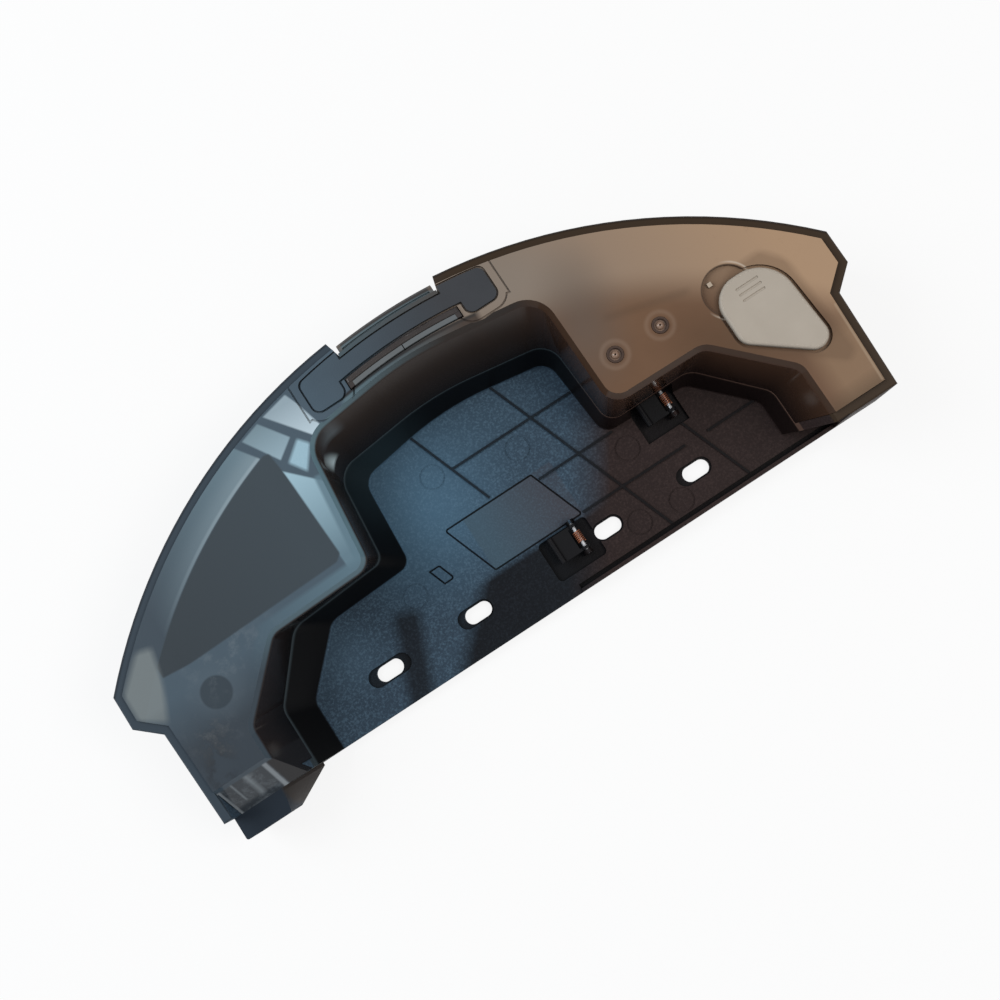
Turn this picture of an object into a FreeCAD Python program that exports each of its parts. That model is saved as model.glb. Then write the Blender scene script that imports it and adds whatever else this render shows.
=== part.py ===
import FreeCAD, Part
import math
import os
from FreeCAD import Vector

# Water tank of a round floor robot: a crescent that slides into the back of a 350 mm machine.
# Everything is modelled about the machine's own centre, then moved so that the origin
# is the middle of the tank's footprint, on the underside. Millimetres, +Z up, +Y to the outer arc.

# Outer outline, half of a symmetric crescent
RIM_R = 175.0
TIP_X = 128.9
TIP_LOW_Y = 107.0
NECK_X = 121.5
NECK_Y = 100.5
FRONT_X = 120.1
FRONT_Y = 68.2

# Heights
PLATE_T = 3.0
SEAM_Z = 14.0
RIM_Z = 32.0
COVER_Z = 31.0
COVER_T = 2.0
COVER_TOP = COVER_Z + COVER_T

# Walls and clearances
OUTER_WALL = 2.8
INNER_WALL = 2.0
LEDGE_W = 2.2
LEDGE_T = 1.5
FIT_GAP = 0.15
RUN_GAP = 0.3
PIN_FIT = 0.05
LIP_ROUND = 1.6
RIM_BEVEL = 0.5

# Bay between the arms, as (x, y, corner radius), from the left arm's front round to the right arm's.
# The top outline is the cover's edge, the seam is where cover and tray meet, the foot is on the plate.
# The insets say how far the left, middle and right of its back stay inside the rim's radius.
BAY_MOUTH = 24.0
TOP_INSET = (21.8, 17.2, 23.8)
SEAM_INSET = (33.0, 28.8, 35.0)
FOOT_INSET = (38.0, 32.6, 38.4)
BAY_TOP = [(-99.0, FRONT_Y - BAY_MOUTH, 0.0), (-99.0, 88.5, 6.0), (-78.3, 109.3, 7.0), (-43.0, 110.4, 4.0),
           (-38.6, RIM_R - TOP_INSET[0], 10.0), (1.0, RIM_R - TOP_INSET[1], 100.0),
           (46.3, RIM_R - TOP_INSET[2], 10.0), (46.8, 110.9, 5.0),
           (78.5, 110.4, 7.0), (99.8, 88.5, 6.0), (99.8, FRONT_Y - BAY_MOUTH, 0.0)]
BAY_SEAM = [(-91.0, FRONT_Y - BAY_MOUTH, 0.0), (-91.0, 88.5, 6.0), (-74.5, 108.2, 7.0), (-39.8, 110.6, 4.0),
            (-36.8, RIM_R - SEAM_INSET[0], 8.0), (2.0, RIM_R - SEAM_INSET[1], 100.0),
            (42.0, RIM_R - SEAM_INSET[2], 8.0), (43.6, 107.8, 5.0),
            (73.5, 108.0, 7.0), (91.8, 88.0, 6.0), (91.8, FRONT_Y - BAY_MOUTH, 0.0)]
BAY_FOOT = [(-82.3, FRONT_Y - BAY_MOUTH, 0.0), (-82.3, 85.5, 5.0), (-64.0, 104.2, 6.0), (-33.2, 105.6, 4.0),
            (-31.2, RIM_R - FOOT_INSET[0], 6.0), (3.0, RIM_R - FOOT_INSET[1], 100.0),
            (38.8, RIM_R - FOOT_INSET[2], 6.0), (41.2, 106.8, 5.0),
            (71.5, 105.8, 6.0), (88.4, 88.0, 5.0), (88.4, FRONT_Y - BAY_MOUTH, 0.0)]

# Sloping window at the left arm's front, and the connector block that stands out below it
SLOPE_Y = 78.0
SLOPE_LOW_Z = 20.0
SLOPE_RIGHT_X = -86.0
BLOCK_FRONT_Y = 60.5
BLOCK_LEFT_X = -119.9
BLOCK_RIGHT_X = -103.8
BLOCK_ROOT_X = -91.0
BLOCK_SHOULDER_X = -102.4
BLOCK_Z = 3.4
BLOCK_TOP_Z = 20.0
CONTACT_COUNT = 4
CONTACT_PITCH = 2.8
CONTACT_W = 1.4
CONTACT_T = 0.6
CONTACT_LEN = 3.8
PORT_W = 12.4
PORT_H = 10.4
PORT_DEPTH = 5.4
PORT_WALL = 2.0
BLOCK_ROUND = 0.8

# Latch in the middle of the back
LATCH_X = 2.5
BUTTON_HALF = 17.3
BUTTON_SET_BACK = 2.0
BUTTON_T = 3.0
BUTTON_SIDE_GAP = 0.6
BUTTON_BEVEL = 0.7
BUTTON_SHELF_W = 1.2
BUTTON_SHELF_DROP = 0.6
BUTTON_EAR_W = 1.3
NOTCH_FLARE = 2.1
NOTCH_DEPTH = 6.5
BUTTON_LOW_Z = 9.0
BUTTON_TRAVEL = 3.0
STEM_X = 12.0
STEM_T = 2.6
STEM_TIP_INSET = 16.6
STEM_TIP_Y = RIM_R - STEM_TIP_INSET
STEM_LOW_Z = 15.6
STEM_HIGH_Z = 22.8
CAM_PIN_R = 1.0
CAM_Z = 20.2
BAR_DROP = 1.8
BAR_HALF = 20.2
BAR_T = 2.0
BAR_INSET = 12.6
BAR_OUT_R = RIM_R - BAR_INSET
BAR_IN_R = BAR_OUT_R - BAR_T
FOOT_T = 2.0
BAR_LOW_Z = 27.5
BAR_PROUD = 1.0
INSERT_T = 1.5
INSERT_HALF = 18.6
INSERT_PROUD = 0.7
SLOT_GAP = 0.35
SPRING_X = 7.0
SPRING_Z = 12.5
SPRING_R = 2.1
SPRING_WIRE_R = 0.35
SPRING_PITCH = 1.9
SPRING_INSET = 18.0
SPRING_SEAT_Y = RIM_R - SPRING_INSET
CUP_R = 3.6
CUP_DEPTH = 2.5
CUP_INSET = 10.0
CUP_FRONT_Y = RIM_R - CUP_INSET
POST_T = 2.0
POST_HALF = 10.0

# Dark trim plate round the latch: a strip along the arc with a pad at each end
PAD_OUT = 33.2
PAD_IN = 22.3
PAD_INSET = 4.1
PAD_DEPTH = 14.1
PAD_R = RIM_R - PAD_INSET
PAD_LOW_Y = PAD_R - PAD_DEPTH
PAD_STEP = 18.5
STRIP_INSET = 6.8
STRIP_R = RIM_R - STRIP_INSET
STRIP_W = 5.0
STRIP_LOW_R = STRIP_R - STRIP_W
TRIM_CORNER_R = 2.5
TRIM_T = 1.5
TRIM_RECESS = 1.2
TRIM_GAP = 0.6
RING_OFF = 2.8
RING_W = 0.6
RING_DEPTH = 0.6

# Filler plug on the right arm, as (x, y, corner radius)
PLUG_OUTLINE = [(88.4, 122.0, 8.5), (110.2, 122.0, 12.0), (112.6, 84.3, 4.5), (88.2, 103.5, 5.0)]
PLUG_T = 2.4
PLUG_RECESS = 1.2
PLUG_GROOVE = 1.1
NECK_CENTRE = (99.4, 110.6)
NECK_BORE_R = 7.0
NECK_DEPTH = 6.5
NECK_WALL = 1.4
STEM_TOP_R = 6.6
STEM_TIP_R = 6.2
STEM_DEPTH = 2.6
STEM_WALL = 0.9
STEM_CAP_T = 1.35
THUMB_CENTRE = (93.9, 119.6)
THUMB_R = 7.9
THUMB_DEPTH = 1.2
THUMB_PIN = (90.3, 124.1)
THUMB_PIN_W = 1.4
THUMB_PIN_H = 0.9
PLUG_ROUND = 0.9
GRIP_COUNT = 3
GRIP_PITCH = 2.0
GRIP_Y = 118.0
GRIP_LEN = 8.0
GRIP_W = 0.8
GRIP_SINK = 0.35

# Air vents in the cover
VENT_Y = 122.0
VENT_X = (54.8, 71.0)
VENT_R = 2.7
VENT_HOLE_R = 1.2
VENT_SEAT = 1.2
VENT_FLOOR_T = 0.5
VENT_LIP_W = 0.6
VENT_BUMP_R = 1.4
VENT_PIN_R = 0.3
VENT_BOSS_R = 5.0
VENT_BOSS_H = 3.5

# Plate: slotted holes, ribs, smooth panel, pocket and front lip
SLOT_Y = 81.1
SLOT_MID_X = 1.0
SLOT_INNER = 24.8
SLOT_OUTER = 58.5
SLOT_LEN = 9.4
SLOT_WIDE = 5.2
SLOT_RECESS_SIDE = 0.6
SLOT_RECESS = 1.0
# How far each slot's recess goes past the slot's left and right end, from the left slot to the right one
SLOT_RECESS_PAST = [(3.0, 3.0), (2.6, 0.6), (0.6, 0.6), (2.4, 0.6)]
RIB_W = 0.8
RIB_H = 0.6
SLANT = 0.358
PANEL_LEFT_X = -11.8
PANEL_RIGHT_X = 21.8
PANEL_LOW_Y = 89.2
PANEL_HIGH_Y = 109.2
PANEL_SINK = 0.25
PANEL_ROUND = 1.0
PANEL_LINE_W = 0.6
PANEL_LINE_SINK = 0.9
MARK_CENTRE = (-27.0, 97.6)
MARK_LEN = 6.4
MARK_WIDE = 4.2
POCKET_LEFT_X = 3.5
POCKET_RIGHT_X = 21.5
POCKET_LOW_Y = 74.5
POCKET_HIGH_Y = 88.6
POCKET_SINK = 1.4
POCKET_ROUND = 1.5
POCKET_Z = PLATE_T - POCKET_SINK
LIP_LEFT_X = 8.0
LIP_W = 1.2
LIP_H = 1.6
LIP_CHANNEL_W = 1.6
LIP_CHANNEL_SINK = 1.3
# Set-back lower front of the right arm, behind the lip
SETBACK_FOOT_Y = 75.6
SETBACK_LEFT_X = 80.0
SETBACK_RIGHT_X = 103.4
# Slanted ribs as (x, from y, to y) and cross ribs as (y, from x, to x)
SLANT_RIBS = [(-11.6, 140.5, 110.0), (18.8, 140.5, FRONT_Y + LIP_W), (62.4, 100.8, FRONT_Y + LIP_W)]
CROSS_RIBS = [(124.4, -5.8, 40.8), (106.2, 15.8, 44.0), (89.6, PANEL_RIGHT_X, 61.0), (89.6, 69.5, 88.6)]
GATE_R = 4.2
GATE_W = 0.5
GATE_SINK = 0.25
GATES = [(-12.6, 125.8), (15.5, 118.4), (-37.9, 96.4), (45.1, 98.9), (35.2, 76.9), (50.3, 75.6)]

# Sprung catches on steel pins
CATCH_PIN_R = 0.6
CATCH_SPAN = 9.0
CATCH_EYE_T = 1.0
CATCH_EYE_R = 1.5
CATCH_EAR_T = 1.3
CATCH_ARM = 9.5
CATCH_ARM_T = 1.1
CATCH_NOSE_H = 2.0
CATCH_COIL_R = 1.15
CATCH_WIRE_R = 0.22
CATCH_PITCH = 0.62
CATCH_COIL_TURNS = 6
CATCH_RISE = 2.4
FRONT_CATCH = (16.4, 83.6)
SIDE_CATCH = (63.6, 105.2)
NICHE_HALF_LEFT = 12.0
NICHE_HALF_RIGHT = 3.6
NICHE_BACK_Y = SIDE_CATCH[1] + CATCH_SPAN / 2 + RUN_GAP + CATCH_EAR_T + PIN_FIT
NICHE_TOP_Z = 12.4
NICHE_WALL = 1.6

# Dry compartment in the left arm, with the board and the pump inside it
DRY_INSET = 11.5
DRY_R = RIM_R - DRY_INSET
DRY_RIGHT_X = -48.4
DRY_LEFT_X = -112.8
DRY_LOW_RIGHT_Y = 116.8
DRY_LOW_LEFT_Y = 114.0
DRY_ROUND = 2.4
DRY_WALL = 1.6
DRY_LID_T = 1.6
DRY_TONGUE_H = 2.0
RIB_LINES = [((-46.6, 167.6), (-37.4, 153.6)), ((-57.6, 164.0), (-49.6, 151.8)),
             ((-44.4, 157.4), (-49.4, 150.2))]
CHAMBER_RIB_T = 2.2
BOARD_T = 1.6
BOARD_LEN = 24.0
BOARD_WIDE = 11.0
BOARD_CENTRE = (-84.0, 123.5)
BOARD_Z = 9.0
BOSS_R = 2.4
MOTOR_R = 7.0
MOTOR_LEN = 18.0
MOTOR_CENTRE = (-60.0, 136.5)
PUMP_HEAD_LEN = 9.0
PUMP_HEAD_SIDE = 16.0
CRADLE_T = 2.0
SCREW_R = 1.0
SCREW_HEAD_R = 1.9
SCREW_HEAD_H = 1.2
SCREW_LEN = 5.0
SCREW_CLEAR = 0.02
CHIP_SIDE = 6.0
CHIP_T = 1.0

# Water path
TUBE_R = 2.0
TUBE_BORE_R = 1.2
TUBE_Z = 6.4
TUBE_BEND_R = 7.0
SUCTION_OFF = 9.9
DELIVERY_OFF = 5.6
SUCTION_START_Y = 125.4
DELIVERY_START_Y = 120.8
FILTER_CENTRE = (62.0, 127.0)
FILTER_R = 4.0
FILTER_LEN = 11.0
FILTER_WALL = 1.2
FILTER_SLOTS = 8
FILTER_SLOT_W = 1.4
OUTLET_X = 101.0
OUTLET_Y = 102.5
OUTLET_R = 2.6
OUTLET_FLANGE = 1.2
OUTLET_BORE_R = 0.8
OUTLET_H = 6.5
OUTLET_BOSS_R = 5.6
OUTLET_BOSS_H = 4.5
LEFT_RUN_Y = 111.6
RIGHT_TURNS = [(46.4, 120.5), (82.0, 113.0)]
TUBE_APART = 1.2

# Hook strips that hold the mop cloth under the arms
HOOK_IN_R = 136.0
HOOK_BAND_W = 24.0
HOOK_OUT_R = HOOK_IN_R + HOOK_BAND_W
HOOK_FROM = 24.0
HOOK_TO = 36.0
HOOK_T = 1.0
HOOK_GAP = 0.2

MID_Y = (RIM_R + BLOCK_FRONT_Y) / 2
CUT_UP = 20.0
CUT_DOWN = 5.0
OVER = 1.0
TOUCH = 0.01
UP = (0, 0, 1)
ALONG = (0, 1, 0)


def arc_corner(start, corner, end, radius):
    """Tangent points and middle point of the round at one corner."""
    to_start = Vector(start[0] - corner[0], start[1] - corner[1], 0).normalize()
    to_end = Vector(end[0] - corner[0], end[1] - corner[1], 0).normalize()
    half = to_start.getAngle(to_end) / 2
    reach = radius / math.tan(half)
    bisector = (to_start + to_end).normalize()
    point = Vector(corner[0], corner[1], 0)
    centre = point + bisector * (radius / math.sin(half))
    return point + to_start * reach, centre - bisector * radius, point + to_end * reach


def rounded_wire(corners, z=0.0):
    """Closed wire through (x, y, radius) corners, with tangent arcs at those that have a radius."""
    count = len(corners)
    stops = []
    for i, corner in enumerate(corners):
        if corner[2] > 0:
            stops.append(arc_corner(corners[i - 1], corner, corners[(i + 1) % count], corner[2]))
        else:
            point = Vector(corner[0], corner[1], 0)
            stops.append((point, None, point))
    edges = []
    for i, (start, middle, end) in enumerate(stops):
        if middle is not None:
            edges.append(Part.Arc(start, middle, end).toShape())
        edges.append(Part.LineSegment(end, stops[(i + 1) % count][0]).toShape())
    wire = Part.Wire(edges)
    wire.translate(Vector(0, 0, z))
    return wire


def grown(corners, amount):
    """The corners moved out by a parallel offset, with their radii to match."""
    count = len(corners)
    area = sum(corners[i - 1][0] * corners[i][1] - corners[i][0] * corners[i - 1][1] for i in range(count))
    turn = 1.0 if area > 0 else -1.0
    moved = []
    for i in range(count):
        before, here, after = corners[i - 1], corners[i], corners[(i + 1) % count]
        first = Vector(here[0] - before[0], here[1] - before[1], 0).normalize()
        second = Vector(after[0] - here[0], after[1] - here[1], 0).normalize()
        out_first = Vector(first.y, -first.x, 0) * turn
        out_second = Vector(second.y, -second.x, 0) * turn
        mitre = (out_first + out_second).normalize()
        shift = mitre * (amount / mitre.dot(out_first))
        convex = (first.x * second.y - first.y * second.x) * turn > 0
        radius = here[2]
        if radius > 0:
            radius = max(radius + (amount if convex else -amount), 0.2)
        moved.append((here[0] + shift.x, here[1] + shift.y, radius))
    return moved


def prism(corners, low, high):
    """Upright solid over a rounded outline."""
    return Part.Face(rounded_wire(corners, low)).extrude(Vector(0, 0, high - low))


def top_edges(shape, height):
    return [edge for edge in shape.Edges if edge.BoundBox.ZMin > height - TOUCH]


def block(x0, x1, y0, y1, z0, z1):
    return Part.makeBox(x1 - x0, y1 - y0, z1 - z0, Vector(x0, y0, z0))


def rod(radius, start, direction, length):
    return Part.makeCylinder(radius, length, Vector(*start), Vector(*direction))


def rim_prism(inset, low, high):
    """Solid inside the crescent's outer outline, moved in all round by inset."""
    corners = [(-FRONT_X, FRONT_Y, 0), (-NECK_X, NECK_Y, 0), (-TIP_X, TIP_LOW_Y, 0), (-TIP_X, RIM_R, 0),
               (TIP_X, RIM_R, 0), (TIP_X, TIP_LOW_Y, 0), (NECK_X, NECK_Y, 0), (FRONT_X, FRONT_Y, 0)]
    sides = prism(grown(corners, -inset), low, high)
    return sides.common(rod(RIM_R - inset, (0, 0, low), UP, high - low))


def bay(grow, low):
    """The bay between the arms, open at the front and the top, grown into the arms by grow."""
    levels = [(low, BAY_FOOT, grow), (SEAM_Z, BAY_SEAM, grow), (COVER_Z, BAY_TOP, grow - LIP_ROUND)]
    levels += [(COVER_TOP, BAY_TOP, grow), (COVER_TOP + CUT_UP, BAY_TOP, grow)]
    wires = [rounded_wire(grown(corners, amount), z) for z, corners, amount in levels]
    if low < PLATE_T:
        wires.insert(1, rounded_wire(grown(BAY_FOOT, grow), PLATE_T))
    return Part.makeLoft(wires, True, True)


def slope_wedge(sink, side_gap):
    """What lies above the left arm's sloping front, sunk below its face by sink."""
    run = Vector(0, SLOPE_Y - FRONT_Y, COVER_TOP - SLOPE_LOW_Z)
    inward = Vector(0, run.z, -run.y).normalize() * sink
    left = OUTER_WALL + side_gap - FRONT_X
    top = Vector(left, SLOPE_Y, COVER_TOP) + inward + run
    foot = Vector(left, FRONT_Y, SLOPE_LOW_Z) + inward - run * (inward.y / run.y)
    low = Vector(left, FRONT_Y - BAY_MOUTH, foot.z)
    high = Vector(foot.x, FRONT_Y - BAY_MOUTH, top.z)
    face = Part.Face(Part.makePolygon([top, foot, low, high, top]))
    return face.extrude(Vector(SLOPE_RIGHT_X - face.BoundBox.XMin, 0, 0))


def setback(grow):
    """What lies in front of the right arm's lower front, which leans back from the lip."""
    top = Vector(SETBACK_LEFT_X, FRONT_Y + grow, COVER_TOP)
    foot = Vector(SETBACK_LEFT_X, SETBACK_FOOT_Y + grow, PLATE_T)
    run = foot - top
    ahead = Vector(SETBACK_LEFT_X, FRONT_Y - OVER, 0)
    points = [top - run, foot, Vector(ahead.x, ahead.y, foot.z), Vector(ahead.x, ahead.y, (top - run).z)]
    face = Part.Face(Part.makePolygon(points + points[:1]))
    return face.extrude(Vector(SETBACK_RIGHT_X + grow - SETBACK_LEFT_X, 0, 0))


def obround(x, y, length, wide, low, high):
    """Slot along X with round ends."""
    half = (length - wide) / 2
    body = block(x - half, x + half, y - wide / 2, y + wide / 2, low, high)
    for side in (-half, half):
        body = body.fuse(rod(wide / 2, (x + side, y, low), UP, high - low))
    return body.removeSplitter()


def bar_between(start, end, wide, low, high):
    """Straight upright bar between two points of the plan."""
    along = Vector(end[0] - start[0], end[1] - start[1], 0)
    side = Vector(-along.y, along.x, 0).normalize() * (wide / 2)
    first, last = Vector(start[0], start[1], low), Vector(end[0], end[1], low)
    points = [first + side, last + side, last - side, first - side, first + side]
    return Part.Face(Part.makePolygon(points)).extrude(Vector(0, 0, high - low))


def arc_band(inner, outer, half, low, high):
    """Band of the latch, round a centre on the latch's own line, between two radii."""
    centre = (LATCH_X, 0, low)
    ring = rod(outer, centre, UP, high - low).cut(rod(inner, centre, UP, high - low))
    return ring.common(block(LATCH_X - half, LATCH_X + half, 0, outer, low, high))


def slot_centres():
    return [SLOT_MID_X + side * reach for reach in (SLOT_INNER, SLOT_OUTER) for side in (-1, 1)]


def slanted_x(x, from_y, to_y):
    """Where a line of the plate's slanted pattern gets to at another depth."""
    return x + SLANT * (from_y - to_y)


def panel_corners():
    """Outline of the smooth panel in the middle of the plate."""
    top_right = slanted_x(PANEL_RIGHT_X, PANEL_LOW_Y, PANEL_HIGH_Y)
    top_left = slanted_x(PANEL_LEFT_X, PANEL_LOW_Y, PANEL_HIGH_Y)
    return [(PANEL_LEFT_X, PANEL_LOW_Y, PANEL_ROUND), (PANEL_RIGHT_X, PANEL_LOW_Y, PANEL_ROUND),
            (top_right, PANEL_HIGH_Y, PANEL_ROUND), (top_left, PANEL_HIGH_Y, PANEL_ROUND)]


def mark_corners():
    """Outline of the small plain mark beside the panel."""
    x, y = MARK_CENTRE
    half = MARK_WIDE / 2
    low, high = y - MARK_LEN / 2, y + MARK_LEN / 2
    lean = slanted_x(0, low, high) / 2
    return [(x - half - lean, low, 0), (x + half - lean, low, PANEL_ROUND),
            (x + half + lean, high, PANEL_ROUND), (x - half + lean, high, 0)]


def frame_groove(corners, sink):
    """Narrow groove in the plate along the inside of an outline."""
    low = PLATE_T - sink
    return prism(corners, low, PLATE_T + OVER).cut(prism(grown(corners, -PANEL_LINE_W), low, PLATE_T + OVER))


def plate_ribs():
    """Low ribs on the plate, slanted and across it, and the lip along its front edge."""
    low = PLATE_T - RIB_H
    high = PLATE_T + RIB_H
    ribs = []
    for x, from_y, to_y in SLANT_RIBS:
        ribs.append(bar_between((x, from_y), (slanted_x(x, from_y, to_y), to_y), RIB_W, low, high))
    for y, from_x, to_x in CROSS_RIBS:
        ribs.append(bar_between((from_x, y), (to_x, y), RIB_W, low, high))
    ribs.append(block(LIP_LEFT_X, SETBACK_RIGHT_X + OVER, FRONT_Y, FRONT_Y + LIP_W, 0, PLATE_T + LIP_H))
    return ribs


def plate_cuts():
    """Slotted holes with their recesses, the smooth panel, the catch pocket and the gate marks."""
    cuts = []
    high = PLATE_T + OVER
    for x, (left, right) in zip(sorted(slot_centres()), SLOT_RECESS_PAST):
        cuts.append(obround(x, SLOT_Y, SLOT_LEN, SLOT_WIDE, -OVER, high))
        cuts.append(obround(x + (right - left) / 2, SLOT_Y, SLOT_LEN + left + right,
                            SLOT_WIDE + 2 * SLOT_RECESS_SIDE, PLATE_T - SLOT_RECESS, high))
    cuts.append(prism(panel_corners(), PLATE_T - PANEL_SINK, high))
    cuts.append(frame_groove(panel_corners(), PANEL_LINE_SINK))
    cuts.append(frame_groove(mark_corners(), PANEL_LINE_SINK))
    cuts.append(block(LIP_LEFT_X, SETBACK_RIGHT_X, FRONT_Y + LIP_W, FRONT_Y + LIP_W + LIP_CHANNEL_W,
                      PLATE_T - LIP_CHANNEL_SINK, high))
    pocket = [(POCKET_LEFT_X, POCKET_LOW_Y, POCKET_ROUND), (POCKET_RIGHT_X, POCKET_LOW_Y, POCKET_ROUND),
              (POCKET_RIGHT_X, POCKET_HIGH_Y, POCKET_ROUND), (POCKET_LEFT_X, POCKET_HIGH_Y, POCKET_ROUND)]
    cuts.append(prism(pocket, POCKET_Z, PLATE_T + OVER))
    for x, y in GATES:
        mark = rod(GATE_R, (x, y, PLATE_T - GATE_SINK), UP, OVER)
        cuts.append(mark.cut(rod(GATE_R - GATE_W, (x, y, PLATE_T - GATE_SINK), UP, OVER)))
    return cuts


def catch_pin_z():
    return PLATE_T + CATCH_RISE


def catch_ears(catch):
    """Two ears with a hole for the pin, one at each end of the catch."""
    x, y = catch
    ears = []
    for side in (-1, 1):
        inner = y + side * (CATCH_SPAN / 2 + RUN_GAP)
        low_y = min(inner, inner + side * CATCH_EAR_T)
        ear = block(x - CATCH_EYE_R, x + CATCH_EYE_R, low_y, low_y + CATCH_EAR_T, POCKET_Z, catch_pin_z())
        ear = ear.fuse(rod(CATCH_EYE_R, (x, low_y, catch_pin_z()), ALONG, CATCH_EAR_T))
        hole = rod(CATCH_PIN_R, (x, low_y - OVER, catch_pin_z()), ALONG, CATCH_EAR_T + 2 * OVER)
        ears.append(ear.cut(hole))
    return ears


def niche():
    """Recess of the right arm's foot that the side catch stands in."""
    x = SIDE_CATCH[0]
    return block(x - NICHE_HALF_LEFT, x + NICHE_HALF_RIGHT, SIDE_CATCH[1] - CATCH_SPAN, NICHE_BACK_Y,
                 POCKET_Z, NICHE_TOP_Z)


def dry_outline(grow):
    corners = [(DRY_RIGHT_X, RIM_R, 0), (DRY_RIGHT_X, DRY_LOW_RIGHT_Y, DRY_ROUND),
               (DRY_LEFT_X, DRY_LOW_LEFT_Y, DRY_ROUND), (DRY_LEFT_X, RIM_R, 0)]
    return grown(corners, grow)


def dry_prism(grow, low, high):
    """Solid inside the dry compartment's outline, which follows the outer arc."""
    return prism(dry_outline(grow), low, high).common(rod(DRY_R + grow, (0, 0, low), UP, high - low))


def tray_inside():
    """Walls inside the arms: dry compartment, chamber ribs, bosses, cradles and the spring post."""
    top = COVER_Z - RUN_GAP
    parts = [dry_prism(0, PLATE_T, lid_z()).cut(dry_prism(-DRY_WALL, PLATE_T, lid_z()))]
    clear = [bay(INNER_WALL + FIT_GAP, -CUT_DOWN).common(rim_prism(0, SEAM_Z, RIM_Z)),
             dry_prism(-DRY_WALL / 2, PLATE_T, RIM_Z), dry_prism(FIT_GAP, lid_z(), RIM_Z)]
    for start, end in RIB_LINES:
        parts.append(bar_between(start, end, CHAMBER_RIB_T, PLATE_T, top).cut(clear))
    for x, y in board_posts():
        parts.append(screw_boss(x, y, BOARD_Z))
    parts += [pump_cradle(x) for x in cradle_places()]
    y = SPRING_SEAT_Y
    parts.append(block(LATCH_X - POST_HALF, LATCH_X + POST_HALF, y - POST_T, y, PLATE_T, SPRING_Z + CUP_R))
    for side in (-1, 1):
        boss = rod(OUTLET_BOSS_R, (side * OUTLET_X, OUTLET_Y, PLATE_T), UP, OUTLET_BOSS_H)
        parts.append(boss.cut(rod(OUTLET_R + OUTLET_FLANGE + RUN_GAP, (side * OUTLET_X, OUTLET_Y, PLATE_T),
                                  UP, OUTLET_BOSS_H)))
    return parts


def lid_z():
    """Underside of the dry compartment's lid, where its walls end."""
    return COVER_Z - RUN_GAP - DRY_LID_T


def screw_boss(x, y, top):
    boss = rod(BOSS_R, (x, y, PLATE_T), UP, top - PLATE_T)
    return boss.cut(rod(SCREW_R, (x, y, top - SCREW_LEN), UP, SCREW_LEN))


def board_posts():
    half = BOARD_LEN / 2 - BOSS_R
    return [(BOARD_CENTRE[0] - half, BOARD_CENTRE[1]), (BOARD_CENTRE[0] + half, BOARD_CENTRE[1])]


def motor_z():
    return PLATE_T + CRADLE_T + MOTOR_R


def cradle_places():
    return [MOTOR_CENTRE[1] - MOTOR_LEN / 4, MOTOR_CENTRE[1] + MOTOR_LEN / 4]


def pump_cradle(y):
    """Half-round saddle under the motor."""
    x = MOTOR_CENTRE[0]
    half = CRADLE_T / 2
    saddle = block(x - MOTOR_R, x + MOTOR_R, y - half, y + half, PLATE_T, motor_z() - MOTOR_R / 2)
    return saddle.cut(rod(MOTOR_R + PIN_FIT, (x, y - CRADLE_T, motor_z()), ALONG, 2 * CRADLE_T))


def button_window():
    """Opening in the outer wall that the release button fills."""
    half = BUTTON_HALF + BUTTON_SIDE_GAP
    low = BUTTON_LOW_Z - RUN_GAP
    return block(LATCH_X - half, LATCH_X + half, RIM_R - 4 * OUTER_WALL, RIM_R + OVER, low, RIM_Z + OVER)


def notch(side, low, high):
    """Wedge that widens the gap beside the button towards the outer arc."""
    x = LATCH_X + side * (BUTTON_HALF + BUTTON_SIDE_GAP)
    outer_y = RIM_R + OVER
    corners = [(x, RIM_R - NOTCH_DEPTH, 0), (x, outer_y, 0), (x + side * NOTCH_FLARE, outer_y, 0)]
    return prism(corners, low, high)


def hook_sector(side, grow, height):
    """Sector under one arm for the hook strip."""
    ring = rod(HOOK_OUT_R + grow, (0, 0, 0), UP, height)
    ring = ring.cut(rod(HOOK_IN_R - grow, (0, 0, 0), UP, height))
    spread = math.degrees(grow / HOOK_IN_R)
    first = 90 - side * (HOOK_FROM - spread)
    last = 90 - side * (HOOK_TO + spread)
    reach = 2 * RIM_R
    points = [Vector(0, 0, 0)]
    for angle in (first, last):
        points.append(Vector(reach * math.cos(math.radians(angle)), reach * math.sin(math.radians(angle)), 0))
    wedge = Part.Face(Part.makePolygon(points + points[:1])).extrude(Vector(0, 0, height))
    return ring.common(wedge)


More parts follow.
